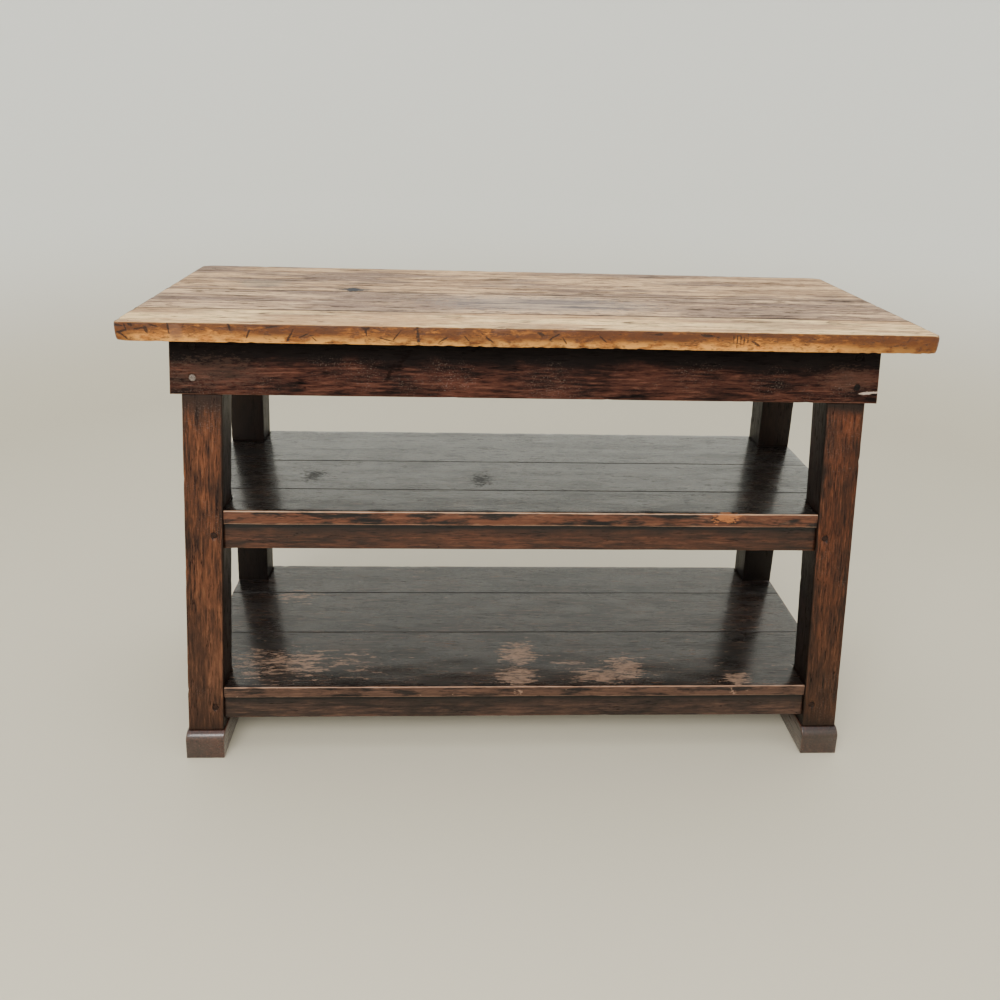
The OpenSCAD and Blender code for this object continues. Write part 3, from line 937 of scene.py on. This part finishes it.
def scrubbed_face(tree, read, wood, pale, deep, stain_amount, rarity):
    """The bleached upper face, and the mask of the dark lines in it."""
    top = mix(tree, step(tree, wood["Figure"], 0.42, 0.57), deep, pale)
    stain = blotches(tree, stretch(tree, read["grain"], (3.2, 15, 15)), 1.0, 0.5, 0.58)
    top = mix(tree, times(tree, stain, stain_amount), top, paint(104, 84, 77))
    dark = times(tree, step(tree, wood["Streaks"], 0.48, 0.36), 0.75)
    top = mix(tree, dark, top, paint(88, 64, 50))
    light = times(tree, step(tree, wood["Streaks"], 0.54, 0.64), 0.5)
    top = mix(tree, light, top, paint(238, 214, 176))
    top = mix(tree, times(tree, wood["Rings"], 0.25), top, paint(120, 92, 70))
    nicks = blotches(tree, stretch(tree, read["place"], (60, 130, 1)), 1.0, 0.68, 0.71)
    long_lines = dashes(tree, read, 6, 100, rarity)
    short_lines = dashes(tree, read, 26, 160, rarity)
    pores = times(tree, wood["Pores"], 0.55)
    lines = strongest(tree, [wood["Splits"], long_lines, short_lines, pores, nicks])
    return mix(tree, times(tree, lines, 0.9), top, paint(46, 33, 28)), lines


# %% Edge of the worktop
LEFT_END_X = -0.655
RIGHT_END_X = 0.45
REPAIR = ((-0.596, TOP_FRONT_Y, 0.899), (0.014, EDGE_DEPTH, 0.016), 0, 0.25)


def polished_edge(tree, read, wood, facing_up):
    """The honey-brown edge, and the mask of its dark spots."""
    edge = mix(tree, step(tree, wood["Figure"], 0.38, 0.6), paint(104, 55, 17), paint(188, 118, 45))
    dark = times(tree, step(tree, wood["Streaks"], 0.52, 0.38), 0.7)
    edge = mix(tree, dark, edge, paint(78, 43, 20))
    fine = noise(tree, stretch(tree, read["place"], (130, 130, 620)), 1.0, 5, 0.7)
    edge = mix(tree, times(tree, step(tree, fine, 0.53, 0.43), 0.6), edge, paint(66, 36, 14))
    place = stretch(tree, read["place"], (1, 1, 2.2))
    sides = add(tree, "SeparateXYZ", {0: read["place"]})
    share = maths(tree, "DIVIDE", maths(tree, "SUBTRACT", sides.outputs[2], top_low.z), edge_height)
    bright = times(tree, step(tree, share, 0.6, 0.1), blotches(tree, place, 34, 0.36, 0.56))
    edge = mix(tree, times(tree, bright, 0.7), edge, paint(212, 150, 72))
    grime = blotches(tree, place, 40, 0.3, 0.52)
    upper = times(tree, step(tree, share, 0.25, 0.7), grime)
    edge = mix(tree, times(tree, upper, 0.85), edge, paint(74, 41, 21))
    lip = times(tree, step(tree, share, 0.86, 0.99), blotches(tree, place, 60, 0.34, 0.52))
    edge = mix(tree, times(tree, lip, 0.9), edge, paint(50, 27, 15))
    left_end = step(tree, sides.outputs[0], LEFT_END_X, LEFT_END_X - 0.03)
    right_end = step(tree, sides.outputs[0], RIGHT_END_X, RIGHT_END_X + 0.24)
    handled = times(tree, strongest(tree, [left_end, right_end]), 0.72)
    edge = mix(tree, handled, edge, paint(86, 46, 18))
    smudges = blotches(tree, place, 48, 0.57, 0.64)
    edge = mix(tree, times(tree, smudges, 0.6), edge, paint(60, 32, 17))
    spots = blotches(tree, stretch(tree, place, (0.6, 0.6, 1.0)), 170, 0.61, 0.66)
    edge = mix(tree, times(tree, spots, 0.7), edge, paint(44, 25, 15))
    underneath = step(tree, facing_up, -0.5, -0.9)
    edge = mix(tree, underneath, edge, paint(104, 78, 54))
    return edge, strongest(tree, [smudges, spots])


def cracked(tree, read, colour, side_on):
    """Adds the repair and the cracks that only the front edge has."""
    repair = mark(tree, read, *REPAIR)
    repair = times(tree, repair, side_on)
    colour = mix(tree, times(tree, repair, 0.6), colour, paint(108, 74, 56))
    cracks = []
    for x, share, half_length, half_width, tilt in EDGE_CRACKS:
        centre = (x, TOP_FRONT_Y, top_low.z + share * edge_height)
        cracks.append(mark(tree, read, centre, (half_length, EDGE_DEPTH, half_width), tilt, 0.8))
    crack = times(tree, strongest(tree, cracks), side_on)
    return mix(tree, times(tree, crack, 0.85), colour, paint(34, 18, 11)), crack


# %% Worktop finish
def worktop_finish(name, pale, deep, stain_amount, rarity, marks=(), has_cracks=False):
    """rarity is how rare the dark lines are: at 0.6 they are common and at 0.7 there are few."""
    material, tree, shader = new_material(name)
    read = surface(tree)
    inputs = {"Vector": read["grain"], "Ring Spacing": 0.011, "Split Width": 0.045}
    wood = place_group(tree, WOOD_GRAIN, inputs)
    facing_up = add(tree, "SeparateXYZ", {0: read["normal"]}).outputs[2]
    up = step(tree, facing_up, 0.45, 0.85)
    top, lines = scrubbed_face(tree, read, wood, pale, deep, stain_amount, rarity)
    if marks:
        top, _ = apply_marks(tree, read, top, marks)
    edge, spots = polished_edge(tree, read, wood, facing_up)
    colour = mix(tree, up, edge, top)
    rubbed = edge_wear(tree, read, 0.0022)
    colour = mix(tree, times(tree, rubbed, 0.3), colour, paint(204, 154, 96))
    dirt = edge_wear(tree, read, 0.0032, "seam")
    colour = mix(tree, times(tree, dirt, 0.9), colour, paint(40, 27, 22))

    lines = times(tree, lines, up)
    hollow = maths(tree, "SUBTRACT", times(tree, wood["Streaks"], 0.5), lines)
    hollow = maths(tree, "SUBTRACT", hollow, times(tree, spots, 0.5))
    if has_cracks:
        colour, crack = cracked(tree, read, colour, maths(tree, "SUBTRACT", 1.0, up))
        hollow = maths(tree, "SUBTRACT", hollow, crack)
    tree.links.new(colour, shader.inputs["Base Color"])
    rough = maths(tree, "ADD", times(tree, up, 0.2), 0.42)
    rough = maths(tree, "ADD", rough, times(tree, lines, 0.25), clamp=True)
    tree.links.new(rough, shader.inputs["Roughness"])
    shader.inputs["Specular IOR Level"].default_value = 0.3
    carve(tree, shader, hollow, 0.6, 0.0012)
    return material


# %% Putting a finish on pieces
def finish(nodes, material):
    """Gives a material to the worn copies of these pieces, or to the loaded pieces themselves."""
    for node in nodes:
        piece = made_timbers.get(node)
        if piece:
            piece.data.materials.clear()
            piece.data.materials.append(material)
        else:
            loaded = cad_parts[node]
            for number in range(len(loaded.material_slots)):
                loaded.material_slots[number].link = "OBJECT"
                loaded.material_slots[number].material = material


# %% Worktop planks finished
KNOT_PLACE = (-0.338, 0.030, TOP_Z)
KNOT = (
    # centre, half size, tilt, raggedness, tone, strength
    (KNOT_PLACE, (0.018, 0.026, 1.0), 0, 0.5, paint(22, 26, 34), 1.0),
    (KNOT_PLACE, (0.046, 0.012, 1.0), 0, 0.8, paint(34, 38, 46), 0.95),
)
BLUE_STAIN = ((0.02, -0.075, TOP_Z), (0.25, 0.075, 1.0), 0, 0.6, paint(118, 114, 114), 0.5)
GREEN_STAIN = ((-0.525, 0.074, TOP_Z), (0.055, 0.040, 1.0), 0, 0.9, paint(118, 112, 98), 0.5)
front_oak = worktop_finish(
    "worktop_front_oak", paint(246, 210, 152), paint(200, 158, 110), 0.35, 0.66, has_cracks=True
)
middle_oak = worktop_finish(
    "worktop_middle_oak", paint(210, 176, 137), paint(146, 117, 93), 0.62, 0.60, (BLUE_STAIN, *KNOT)
)
rear_oak = worktop_finish(
    "worktop_rear_oak", paint(214, 176, 131), paint(154, 121, 87), 0.7, 0.615, (GREEN_STAIN, *KNOT)
)
finish(["top_plank_front"], front_oak)
finish(["top_plank_middle"], middle_oak)
finish(["top_plank_rear"], rear_oak)
print("worktop finishes:", front_oak.name, middle_oak.name, rear_oak.name)

# %% [markdown]
# ## Stained finishes
#
# The frame is stained dark and waxed. All its parts share one recipe: a deep tone and a warmer
# worn tone mixed by the figure of the wood and by blotches, darker streaks and pores, paler rubbed
# arrises, dark dirt in the seams and a little dust, with painted shade and painted highlights where
# a part needs them. What differs is the tones, the gloss and how far the stain is worn, so the recipe
# is one function with those as its arguments.


# %% Wear of the stain, and painted shade
WARM_LOW = 0.38
WARM_HIGH = 0.63
# Near-black for dirt in splits, pores and seams, and for the painted contact shadow under the shelves.
GRIME_AND_SHADOW = paint(6, 4, 4)


def rubbed_bare(tree, read, patches):
    """Where the stain is rubbed off: ragged patches and, towards the front, scattered flecks."""
    across = add(tree, "SeparateXYZ", {0: read["place"]}).outputs[1]
    near = [
        times(tree, mark(tree, read, centre, size, 0, 0.0, "Nearness"), strength)
        for centre, size, strength in patches
    ]
    flecks = noise(tree, stretch(tree, read["place"], (30, 150, 40)), 1.0, 6, 0.7)
    front = times(tree, step(tree, across, -0.05, -0.2), 0.035)
    rubbed = maths(tree, "ADD", maths(tree, "ADD", flecks, front), strongest(tree, near))
    left = noise(tree, stretch(tree, read["place"], (60, 240, 40)), 1.0, 4, 0.7)
    thin = maths(tree, "ADD", times(tree, step(tree, left, 0.4, 0.55), 0.6), 0.35)
    return times(tree, step(tree, rubbed, 0.67, 0.70), thin)


def kept_warm(tree, read, warmth, height, black_above, black_below):
    """Takes the warm tone away above one height and below another, along wavy lines."""
    wavy = maths(tree, "ADD", height, times(tree, noise(tree, read["place"], 14, 5, 0.7), 0.05))
    # Above black_above the warm tone fades out: a painted shade under whatever overhangs the part.
    if black_above:
        warmth = times(tree, warmth, step(tree, wavy, black_above + 0.034, black_above + 0.006))
    if black_below:
        warmth = times(tree, warmth, step(tree, wavy, black_below, black_below + 0.08))
    return warmth


def speckled(tree, read, colour, height, top, amount):
    """Pale specks of crazed wax, in cloudy areas below a height."""
    specks = blotches(tree, stretch(tree, read["place"], (1, 1, 1.8)), 330, 0.57, 0.64)
    near = blotches(tree, read["place"], 9, 0.48, 0.6)
    near = times(tree, near, step(tree, height, top + 0.02, top - 0.01))
    return mix(tree, times(tree, times(tree, specks, near), amount), colour, paint(104, 90, 82))


def inward_painted_shade(tree, sides, facing, colour, black, amount):
    """Paints shade on the faces that look inwards, so that they are nearly black."""
    inward = [times(tree, facing.outputs[n], sides.outputs[n]) for n in (0, 1)]
    inward = maths(tree, "MINIMUM", *inward)
    inward_shade_mask = times(tree, step(tree, inward, -0.05, -0.16), amount)
    return mix(tree, inward_shade_mask, colour, black)


print("stain is warm between", WARM_LOW, "and", WARM_HIGH, "of its pattern")


# %% Stained oak
def stained_oak(
    name, deep, warm, worn, gloss, sheen=0.3, wax=0.0, dust=0.06, speckle=0.0,
    wear_reach=0.0018, wear_amount=0.5, rim_tone=None, side_tone=None, low_warm=None,
    black_above=None, black_below=None, corner_above=None, inner_shade=0.0,
    patches=(), patch_tone=None, marks=(),
):
    """A dark stain, worn to a warm tone in places and to a paler one on the arrises.

    gloss is the roughness of the smooth wood, sheen the shine of the stain and wax the weight of the
    coat over it. rim_tone is a painted highlight along the upper arrises of a shelf and the paler
    tone of its other worn arrises, side_tone is for the sides of a shelf and low_warm for the foot of
    a leg. Above black_above the wood darkens with painted shade, and under the worktop with some grime
    too, and below black_below it is darker towards the foot. corner_above is where a painted contact
    shadow lies under a shelf, and inner_shade is how black painted shade makes the faces that look
    inwards.
    """
    material, tree, shader = new_material(name)
    read = surface(tree)
    inputs = {"Vector": read["grain"], "Ring Spacing": 0.008, "Split Width": 0.016}
    wood = place_group(tree, WOOD_GRAIN, inputs)
    sides = add(tree, "SeparateXYZ", {0: read["place"]})
    facing = add(tree, "SeparateXYZ", {0: read["normal"]})
    height = sides.outputs[2]
    black = tuple(0.3 * part for part in deep[:3]) + (1.0,)

    cloud = noise(tree, stretch(tree, read["grain"], (5, 12, 12)), 1.0, 5, 0.65)
    warmth = times(tree, maths(tree, "ADD", cloud, wood["Streaks"]), 0.5)
    warmth = step(tree, warmth, WARM_LOW, WARM_HIGH)
    warmth = kept_warm(tree, read, warmth, height, black_above, black_below)
    if low_warm:
        warm = mix(tree, step(tree, height, 0.1, 0.6), low_warm, warm)
    colour = mix(tree, warmth, deep, warm)
    if side_tone:
        smudged = blotches(tree, stretch(tree, read["place"], (14, 1, 60)), 1.0, 0.4, 0.54)
        sideward = step(tree, facing.outputs[2], 0.85, 0.5)
        colour = mix(tree, times(tree, sideward, smudged), colour, side_tone)
    fine, broad = times(tree, wood["Streaks"], 0.65), times(tree, wood["Figure"], 0.35)
    lines = times(tree, step(tree, maths(tree, "ADD", fine, broad), 0.5, 0.36), 0.65)
    colour = mix(tree, lines, colour, black)
    bright = times(tree, step(tree, wood["Streaks"], 0.54, 0.66), 0.35)
    colour = mix(tree, times(tree, bright, warmth), colour, worn)
    colour = mix(tree, times(tree, wood["Rings"], 0.25), colour, black)
    if patches:
        bare = rubbed_bare(tree, read, patches)
        colour = mix(tree, times(tree, bare, 0.9), colour, patch_tone)
    if speckle:
        colour = speckled(tree, read, colour, height, black_above, speckle)
    rubbed = edge_wear(tree, read, wear_reach)
    # With a rim tone the arris wear is mostly a painted highlight: full strength on upper arrises, a
    # third of it on the others.
    if rim_tone:
        upper = times(tree, step(tree, facing.outputs[2], -0.4, 0.2), 0.7)
        rubbed = times(tree, rubbed, maths(tree, "ADD", upper, 0.3))
    colour = mix(tree, times(tree, rubbed, wear_amount), colour, rim_tone or worn)
    dark_lines = strongest(tree, [wood["Splits"], times(tree, wood["Pores"], 0.7)])
    colour = mix(tree, times(tree, dark_lines, 0.8), colour, GRIME_AND_SHADOW)
    dirt = edge_wear(tree, read, 0.0026, "seam")
    colour = mix(tree, times(tree, dirt, 0.9), colour, GRIME_AND_SHADOW)
    # Painted contact shadow: a near-black line along the top of a rail, under the shelf's front edge.
    if corner_above:
        contact_shadow = step(tree, height, corner_above - 0.003, corner_above + 0.002)
        colour = mix(tree, times(tree, contact_shadow, 0.92), colour, GRIME_AND_SHADOW)
    # Painted shade: faces that look towards the middle of the table are mixed towards black.
    if inner_shade:
        colour = inward_painted_shade(tree, sides, facing, colour, black, inner_shade)
    inputs = {"Vector": read["place"], "Normal": read["normal"], "Amount": dust}
    film = place_group(tree, DUST, inputs)["Mask"]
    colour = mix(tree, film, colour, paint(130, 122, 114))
    dull = maths(tree, "ADD", times(tree, lines, 0.22), times(tree, dark_lines, 0.4))
    dull = maths(tree, "ADD", dull, times(tree, film, 0.6), clamp=True)
    if marks:
        colour, marked = apply_marks(tree, read, colour, marks)
        dull = strongest(tree, [dull, times(tree, marked, 0.6)])
    if patches:
        dull = strongest(tree, [dull, times(tree, bare, 0.4)])
    if side_tone:
        dull = strongest(tree, [dull, times(tree, sideward, 0.55)])
    tree.links.new(colour, shader.inputs["Base Color"])

    smear = blotches(tree, stretch(tree, read["grain"], (9, 26, 26)), 1.0, 0.3, 0.75)
    rough = maths(tree, "ADD", times(tree, smear, 0.1), gloss)
    rough = maths(tree, "ADD", rough, dull, clamp=True)
    tree.links.new(rough, shader.inputs["Roughness"])
    shader.inputs["Specular IOR Level"].default_value = sheen
    if wax:
        shader.inputs["Coat Roughness"].default_value = 0.16
        lost = strongest(tree, [dull, times(tree, smear, 0.25)])
        kept = maths(tree, "SUBTRACT", 1.0, lost)
        if side_tone:
            kept = times(tree, kept, maths(tree, "SUBTRACT", 1.0, sideward))
        tree.links.new(times(tree, kept, wax), shader.inputs["Coat Weight"])
    hollow = maths(tree, "SUBTRACT", times(tree, wood["Streaks"], 0.5), dark_lines)
    carve(tree, shader, hollow, 0.4, 0.0007)
    return material


# %% [markdown]
# ## Frame and shelf finishes
#
# The aprons are the darkest of the frame, the legs the warmest, and the shelves nearly black with
# a soft wax shine. On the lower shelf the stain is rubbed through to tan in a few places where
# heavy things stood and were dragged.

# %% Marks on the shelves and the apron
LOW_SHELF_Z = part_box("low_shelf_plank_front")[1].z
RUBBED_PATCHES = (
    # centre, half size, strength
    ((0.002, -0.138, LOW_SHELF_Z), (0.065, 0.080, 0.1), 0.30),
    ((-0.002, -0.216, LOW_SHELF_Z), (0.065, 0.048, 0.1), 0.30),
    ((0.226, -0.186, LOW_SHELF_Z), (0.060, 0.070, 0.1), 0.34),
    ((0.176, -0.216, LOW_SHELF_Z), (0.100, 0.036, 0.1), 0.30),
    ((0.464, -0.228, LOW_SHELF_Z), (0.055, 0.036, 0.1), 0.26),
    ((-0.500, -0.163, LOW_SHELF_Z), (0.280, 0.095, 0.1), 0.19),
    ((-0.510, 0.098, LOW_SHELF_Z), (0.095, 0.045, 0.1), 0.24),
    ((0.114, -0.171, LOW_SHELF_Z), (0.080, 0.008, 0.1), 0.30),
)
MID_SHELF_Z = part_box("mid_shelf_plank_front")[1].z
MID_SHELF_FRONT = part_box("mid_shelf_plank_front")[0].y
SHELF_KNOTS = (
    # centre, half size, tilt, raggedness, tone, strength
    ((-0.427, -0.044, MID_SHELF_Z), (0.020, 0.026, 0.02), 0, 1.6, paint(8, 6, 6), 1.0),
    ((-0.081, -0.062, MID_SHELF_Z), (0.020, 0.028, 0.02), 0, 1.6, paint(8, 6, 6), 1.0),
)
WORN_PLACE = (0.389, MID_SHELF_FRONT, MID_SHELF_Z - 0.008)
WORN_SPOT = (WORN_PLACE, (0.026, 0.01, 0.012), 0, 1.2, paint(168, 104, 58), 0.7)
APRON_LOW_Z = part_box("apron_front")[0].z
APRON_MARKS = (
    # centre, half size, tilt, raggedness, tone, strength
    ((-0.229, -0.22, APRON_LOW_Z + 0.068), (0.006, 0.04, 0.022), -35, 0.9, paint(16, 10, 9), 0.8),
    ((-0.253, -0.22, APRON_LOW_Z + 0.044), (0.005, 0.04, 0.024), -30, 0.9, paint(18, 11, 10), 0.8),
    ((-0.560, -0.22, APRON_LOW_Z + 0.040), (0.100, 0.05, 0.030), 0, 1.0, paint(82, 64, 55), 0.26),
    ((0.585, -0.22, APRON_LOW_Z + 0.045), (0.065, 0.05, 0.026), 0, 0.7, paint(84, 62, 52), 0.3),
    ((0.626, -0.22, APRON_LOW_Z + 0.020), (0.022, 0.05, 0.0030), 4, 0.6, paint(176, 158, 146), 0.9),
)
print("rubbed patches:", len(RUBBED_PATCHES), "and apron marks:", len(APRON_MARKS))

# %% Apron and leg finishes
# Painted shade: the aprons go near-black above APRON_SHADE_Z, under the worktop's overhang, with some
# grime, and the legs darken above LEG_SHADE_Z, under the aprons, and on their inward faces. Below
# LEG_FOOT_Z the legs are darker towards the foot.
APRON_SHADE_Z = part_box("apron_front")[1].z - 0.050
LEG_SHADE_Z = APRON_LOW_Z - 0.022
LEG_FOOT_Z = 0.07
apron_stain = stained_oak(
    "apron_stain", paint(17, 10, 9), paint(85, 49, 38), paint(112, 78, 62), gloss=0.5, speckle=0.55,
    sheen=0.08, black_above=APRON_SHADE_Z, marks=APRON_MARKS,
)
leg_stain = stained_oak(
    "leg_stain", paint(38, 22, 15), paint(106, 60, 35), paint(130, 90, 62), gloss=0.42, sheen=0.2,
    speckle=0.4, black_above=LEG_SHADE_Z, black_below=LEG_FOOT_Z, low_warm=paint(94, 60, 42),
    inner_shade=0.9,
)
right_leg_stain = stained_oak(
    "right_leg_stain", paint(30, 18, 12), paint(96, 50, 28), paint(118, 80, 56), gloss=0.42, sheen=0.2,
    speckle=0.3, black_above=LEG_SHADE_Z, black_below=LEG_FOOT_Z, low_warm=paint(74, 45, 29),
    inner_shade=0.9,
)
# The back legs get darker tones than the front ones, a painted shade, and their inward faces are
# painted nearly black.
shaded_back_leg_stain = stained_oak(
    "shaded_back_leg_stain", paint(26, 16, 12), paint(88, 50, 32), paint(112, 76, 54), gloss=0.42, sheen=0.2,
    black_above=LEG_SHADE_Z, black_below=LEG_FOOT_Z, inner_shade=0.96,
)
all_nodes = sorted(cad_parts)
finish([f"apron_{side}" for side in ("front", "back", "left", "right")], apron_stain)
finish(["post_front_left"], leg_stain)
finish(["post_front_right"], right_leg_stain)
finish(["post_back_left", "post_back_right"], shaded_back_leg_stain)
print("legs darken above", round(LEG_SHADE_Z, 3), "and below", LEG_FOOT_Z)

# %% Rail, shelf and runner finishes
MID_RAIL_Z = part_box("mid_rail_front")[1].z
LOW_RAIL_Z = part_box("low_rail_front")[1].z
# Painted shade: each rail darkens towards its top, under the shelf's front edge, and its top few
# millimetres carry a near-black painted contact shadow.
RAIL_SHADE = 0.013
CORNER_SHADOW = 0.008
mid_rail_stain = stained_oak(
    "mid_rail_stain", paint(33, 20, 14), paint(80, 45, 29), paint(102, 68, 48), gloss=0.4,
    black_above=MID_RAIL_Z - RAIL_SHADE, corner_above=MID_RAIL_Z - CORNER_SHADOW,
)
low_rail_stain = stained_oak(
    "low_rail_stain", paint(32, 23, 19), paint(78, 54, 44), paint(108, 81, 65), gloss=0.4,
    black_above=LOW_RAIL_Z - RAIL_SHADE, corner_above=LOW_RAIL_Z - CORNER_SHADOW,
)
# The rim tones of both shelves are painted highlights along their upper arrises.
mid_shelf_stain = stained_oak(
    "mid_shelf_stain", paint(14, 11, 10), paint(30, 23, 20), paint(140, 102, 78), gloss=0.2, wax=1.0,
    sheen=0.35, wear_reach=0.0028, wear_amount=0.75, rim_tone=paint(196, 158, 130), dust=0.01,
    side_tone=paint(94, 56, 38), marks=(*SHELF_KNOTS, WORN_SPOT),
)
low_shelf_stain = stained_oak(
    "low_shelf_stain", paint(17, 13, 12), paint(42, 32, 28), paint(140, 102, 78), gloss=0.22, wax=0.9,
    sheen=0.3, wear_reach=0.0028, wear_amount=0.75, rim_tone=paint(170, 134, 112), dust=0.01,
    patches=RUBBED_PATCHES, patch_tone=paint(144, 115, 96), side_tone=paint(84, 60, 48),
)
runner_stain = stained_oak(
    "runner_stain", paint(34, 19, 16), paint(68, 37, 28), paint(112, 80, 66), gloss=0.26, wax=0.75,
    sheen=0.5,
)
for level, rail_stain, shelf_stain in (
    ("mid", mid_rail_stain, mid_shelf_stain),
    ("low", low_rail_stain, low_shelf_stain),
):
    rails = [f"{level}_rail_{side}" for side in ("front", "back", "left", "right")]
    battens = [node for node in all_nodes if node.startswith(level + "_shelf_batten")]
    planks = [node for node in all_nodes if node.startswith(level + "_shelf_plank")]
    finish(rails + battens, rail_stain)
    finish(planks, shelf_stain)
finish(["runner_left", "runner_right"], runner_stain)
print("shelf finishes:", mid_shelf_stain.name, low_shelf_stain.name, "and", runner_stain.name)

# %% [markdown]
# ## Pegs, hidden oak and screws
#
# The pegs show only their ends, so their finish is end grain: fine dark dots. Dowels, worktop
# battens and screws are hidden in use, but they are there when the table is taken apart, so they
# have plain finishes too.


# %% Small parts
def end_grain_finish(name, deep, pale, roughness, bare_at=None):
    """bare_at is the place of one peg that has lost its stain."""
    material, tree, shader = new_material(name)
    place = add(tree, "TexCoord").outputs["Object"]
    dots = step(tree, noise(tree, place, 900, 2, 0.5), 0.42, 0.62)
    colour = mix(tree, dots, deep, pale)
    if bare_at:
        bare = mark(tree, {"place": place}, bare_at, (0.03, 0.2, 0.03), 0, 0.0)
        colour = mix(tree, bare, colour, mix(tree, dots, paint(84, 74, 68), paint(134, 124, 116)))
    tree.links.new(colour, shader.inputs["Base Color"])
    shader.inputs["Roughness"].default_value = roughness
    shader.inputs["Specular IOR Level"].default_value = 0.15
    carve(tree, shader, dots, 0.3, 0.0003)
    return material


def steel_finish(name):
    material, tree, shader = new_material(name)
    place = add(tree, "TexCoord").outputs["Object"]
    tarnish = blotches(tree, place, 300, 0.4, 0.65)
    colour = mix(tree, tarnish, paint(172, 170, 164), paint(110, 98, 86))
    tree.links.new(colour, shader.inputs["Base Color"])
    rough = maths(tree, "ADD", times(tree, tarnish, 0.3), 0.32)
    tree.links.new(rough, shader.inputs["Roughness"])
    shader.inputs["Metallic"].default_value = 1.0
    return material


print("small finishes can be made")

# %% [markdown]
# ## Peg ends
#
# An old peg ends almost flush: its rim is worn round and it has sunk a little. The pegs of the two
# long aprons were split and wedged, so a thin slit runs across their ends. Each loaded peg is a
# plain rod, so the outer end is found, sunk, bevelled and, where it was wedged, slit by two cuts
# whose middle strip is pushed in.

# %% Pegs
PEG_SUNK = 0.0005
PEG_ROUNDING = 0.0009
PEG_REACH = 0.08
SLIT_WIDTH = 0.0011
SLIT_DEPTH = 0.0014
SLIT_MERGE = 1e-6


def separate_rods(bm):
    """The vertices of each peg in a node that holds several."""
    left = set(bm.verts)
    while left:
        rod = {left.pop()}
        edge_of_search = list(rod)
        while edge_of_search:
            for edge in edge_of_search.pop().link_edges:
                for vert in edge.verts:
                    if vert not in rod:
                        rod.add(vert)
                        edge_of_search.append(vert)
        left -= rod
        yield list(rod)


def peg_end(bm, rod, wedged):
    """Sinks the peg's outer end, rounds its rim and slits it if it was wedged."""
    places = np.array([v.co for v in rod])
    spans = places.max(0) - places.min(0)
    axis = int(np.argmax(spans[:2]))
    outward = Vector((0, 0, 0))
    outward[axis] = math.copysign(1, places.mean(0)[axis])
    centre = Vector(places.mean(0))
    bmesh.ops.translate(bm, vec=-outward * PEG_SUNK, verts=rod)
    faces = {face for vert in rod for face in vert.link_faces}
    cap = [face for face in faces if face.normal.dot(outward) > 0.9]
    rim = {edge for face in cap for edge in face.edges}
    rim = [edge for edge in rim if edge.calc_face_angle() > ARRIS_ANGLE]
    bmesh.ops.bevel(
        bm, geom=rim, offset=PEG_ROUNDING, offset_type="OFFSET", segments=3, profile=0.5,
        affect="EDGES", clamp_overlap=True, material=-1,
    )
    if not wedged:
        return
    for side in (-1, 1):
        near = [f for f in bm.faces if (f.calc_center_median() - centre)[axis] * outward[axis] > 0]
        near = [f for f in near if (f.calc_center_median() - centre).length < PEG_REACH]
        cut = {item for face in near for item in (*face.verts, *face.edges, face)}
        level = centre.z + side * SLIT_WIDTH / 2
        bmesh.ops.bisect_plane(
            bm, geom=list(cut), dist=SLIT_MERGE, plane_co=(0, 0, level), plane_no=(0, 0, 1)
        )
    strip = []
    for face in bm.faces:
        middle = face.calc_center_median() - centre
        in_slit = abs(middle.z) < SLIT_WIDTH / 2 and middle.length < PEG_REACH
        if in_slit and face.normal.dot(outward) > 0.9:
            strip.append(face)
    pushed = bmesh.ops.extrude_face_region(bm, geom=strip)["geom"]
    bmesh.ops.delete(bm, geom=strip, context="FACES_ONLY")
    moved = [item for item in pushed if isinstance(item, bmesh.types.BMVert)]
    bmesh.ops.translate(bm, vec=-outward * SLIT_DEPTH, verts=moved)


def pegs(node, wedged=False):
    bm = clean_copy(node)
    for rod in list(separate_rods(bm)):
        peg_end(bm, rod, wedged)
    mesh = bpy.data.meshes.new("oak_" + node)
    bm.to_mesh(mesh)
    bm.free()
    put_in_place(node, mesh)


wedged_nodes = ["apron_front_pegs", "apron_back_pegs"]
peg_nodes = [node for node in all_nodes if node.endswith("_pegs")]
for node in peg_nodes:
    pegs(node, wedged=node in wedged_nodes)
describe(peg_nodes)

# %% [markdown]
# ## Finishes of the small parts
#
# The pegs of the long aprons went black with the stain, apart from one at the lower left that has
# lost it and shows pale. The others are browner and hardly stand out from the wood round them.

# %% Small parts finished
apron_peg_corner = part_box("apron_front_pegs")[0]
PALE_PEG = (apron_peg_corner.x, TOP_FRONT_Y, apron_peg_corner.z)
peg_oak = end_grain_finish("peg_oak", paint(12, 8, 7), paint(26, 17, 13), 0.7, PALE_PEG)
leg_peg_oak = end_grain_finish("leg_peg_oak", paint(20, 12, 9), paint(52, 32, 23), 0.6)
raw_oak = end_grain_finish("raw_oak", paint(140, 108, 76), paint(176, 142, 104), 0.7)
dull_steel = steel_finish("dull_steel")
hidden_oak = [node for node in all_nodes if node.endswith("_dowels") or node.startswith("top_batten")]
screws = [node for node in all_nodes if node.endswith("_screws")]
finish(peg_nodes, leg_peg_oak)
finish(wedged_nodes, peg_oak)
finish(hidden_oak, raw_oak)
finish(screws, dull_steel)
print("groups of pegs:", len(peg_nodes), "hidden oak:", len(hidden_oak), "screws:", len(screws))
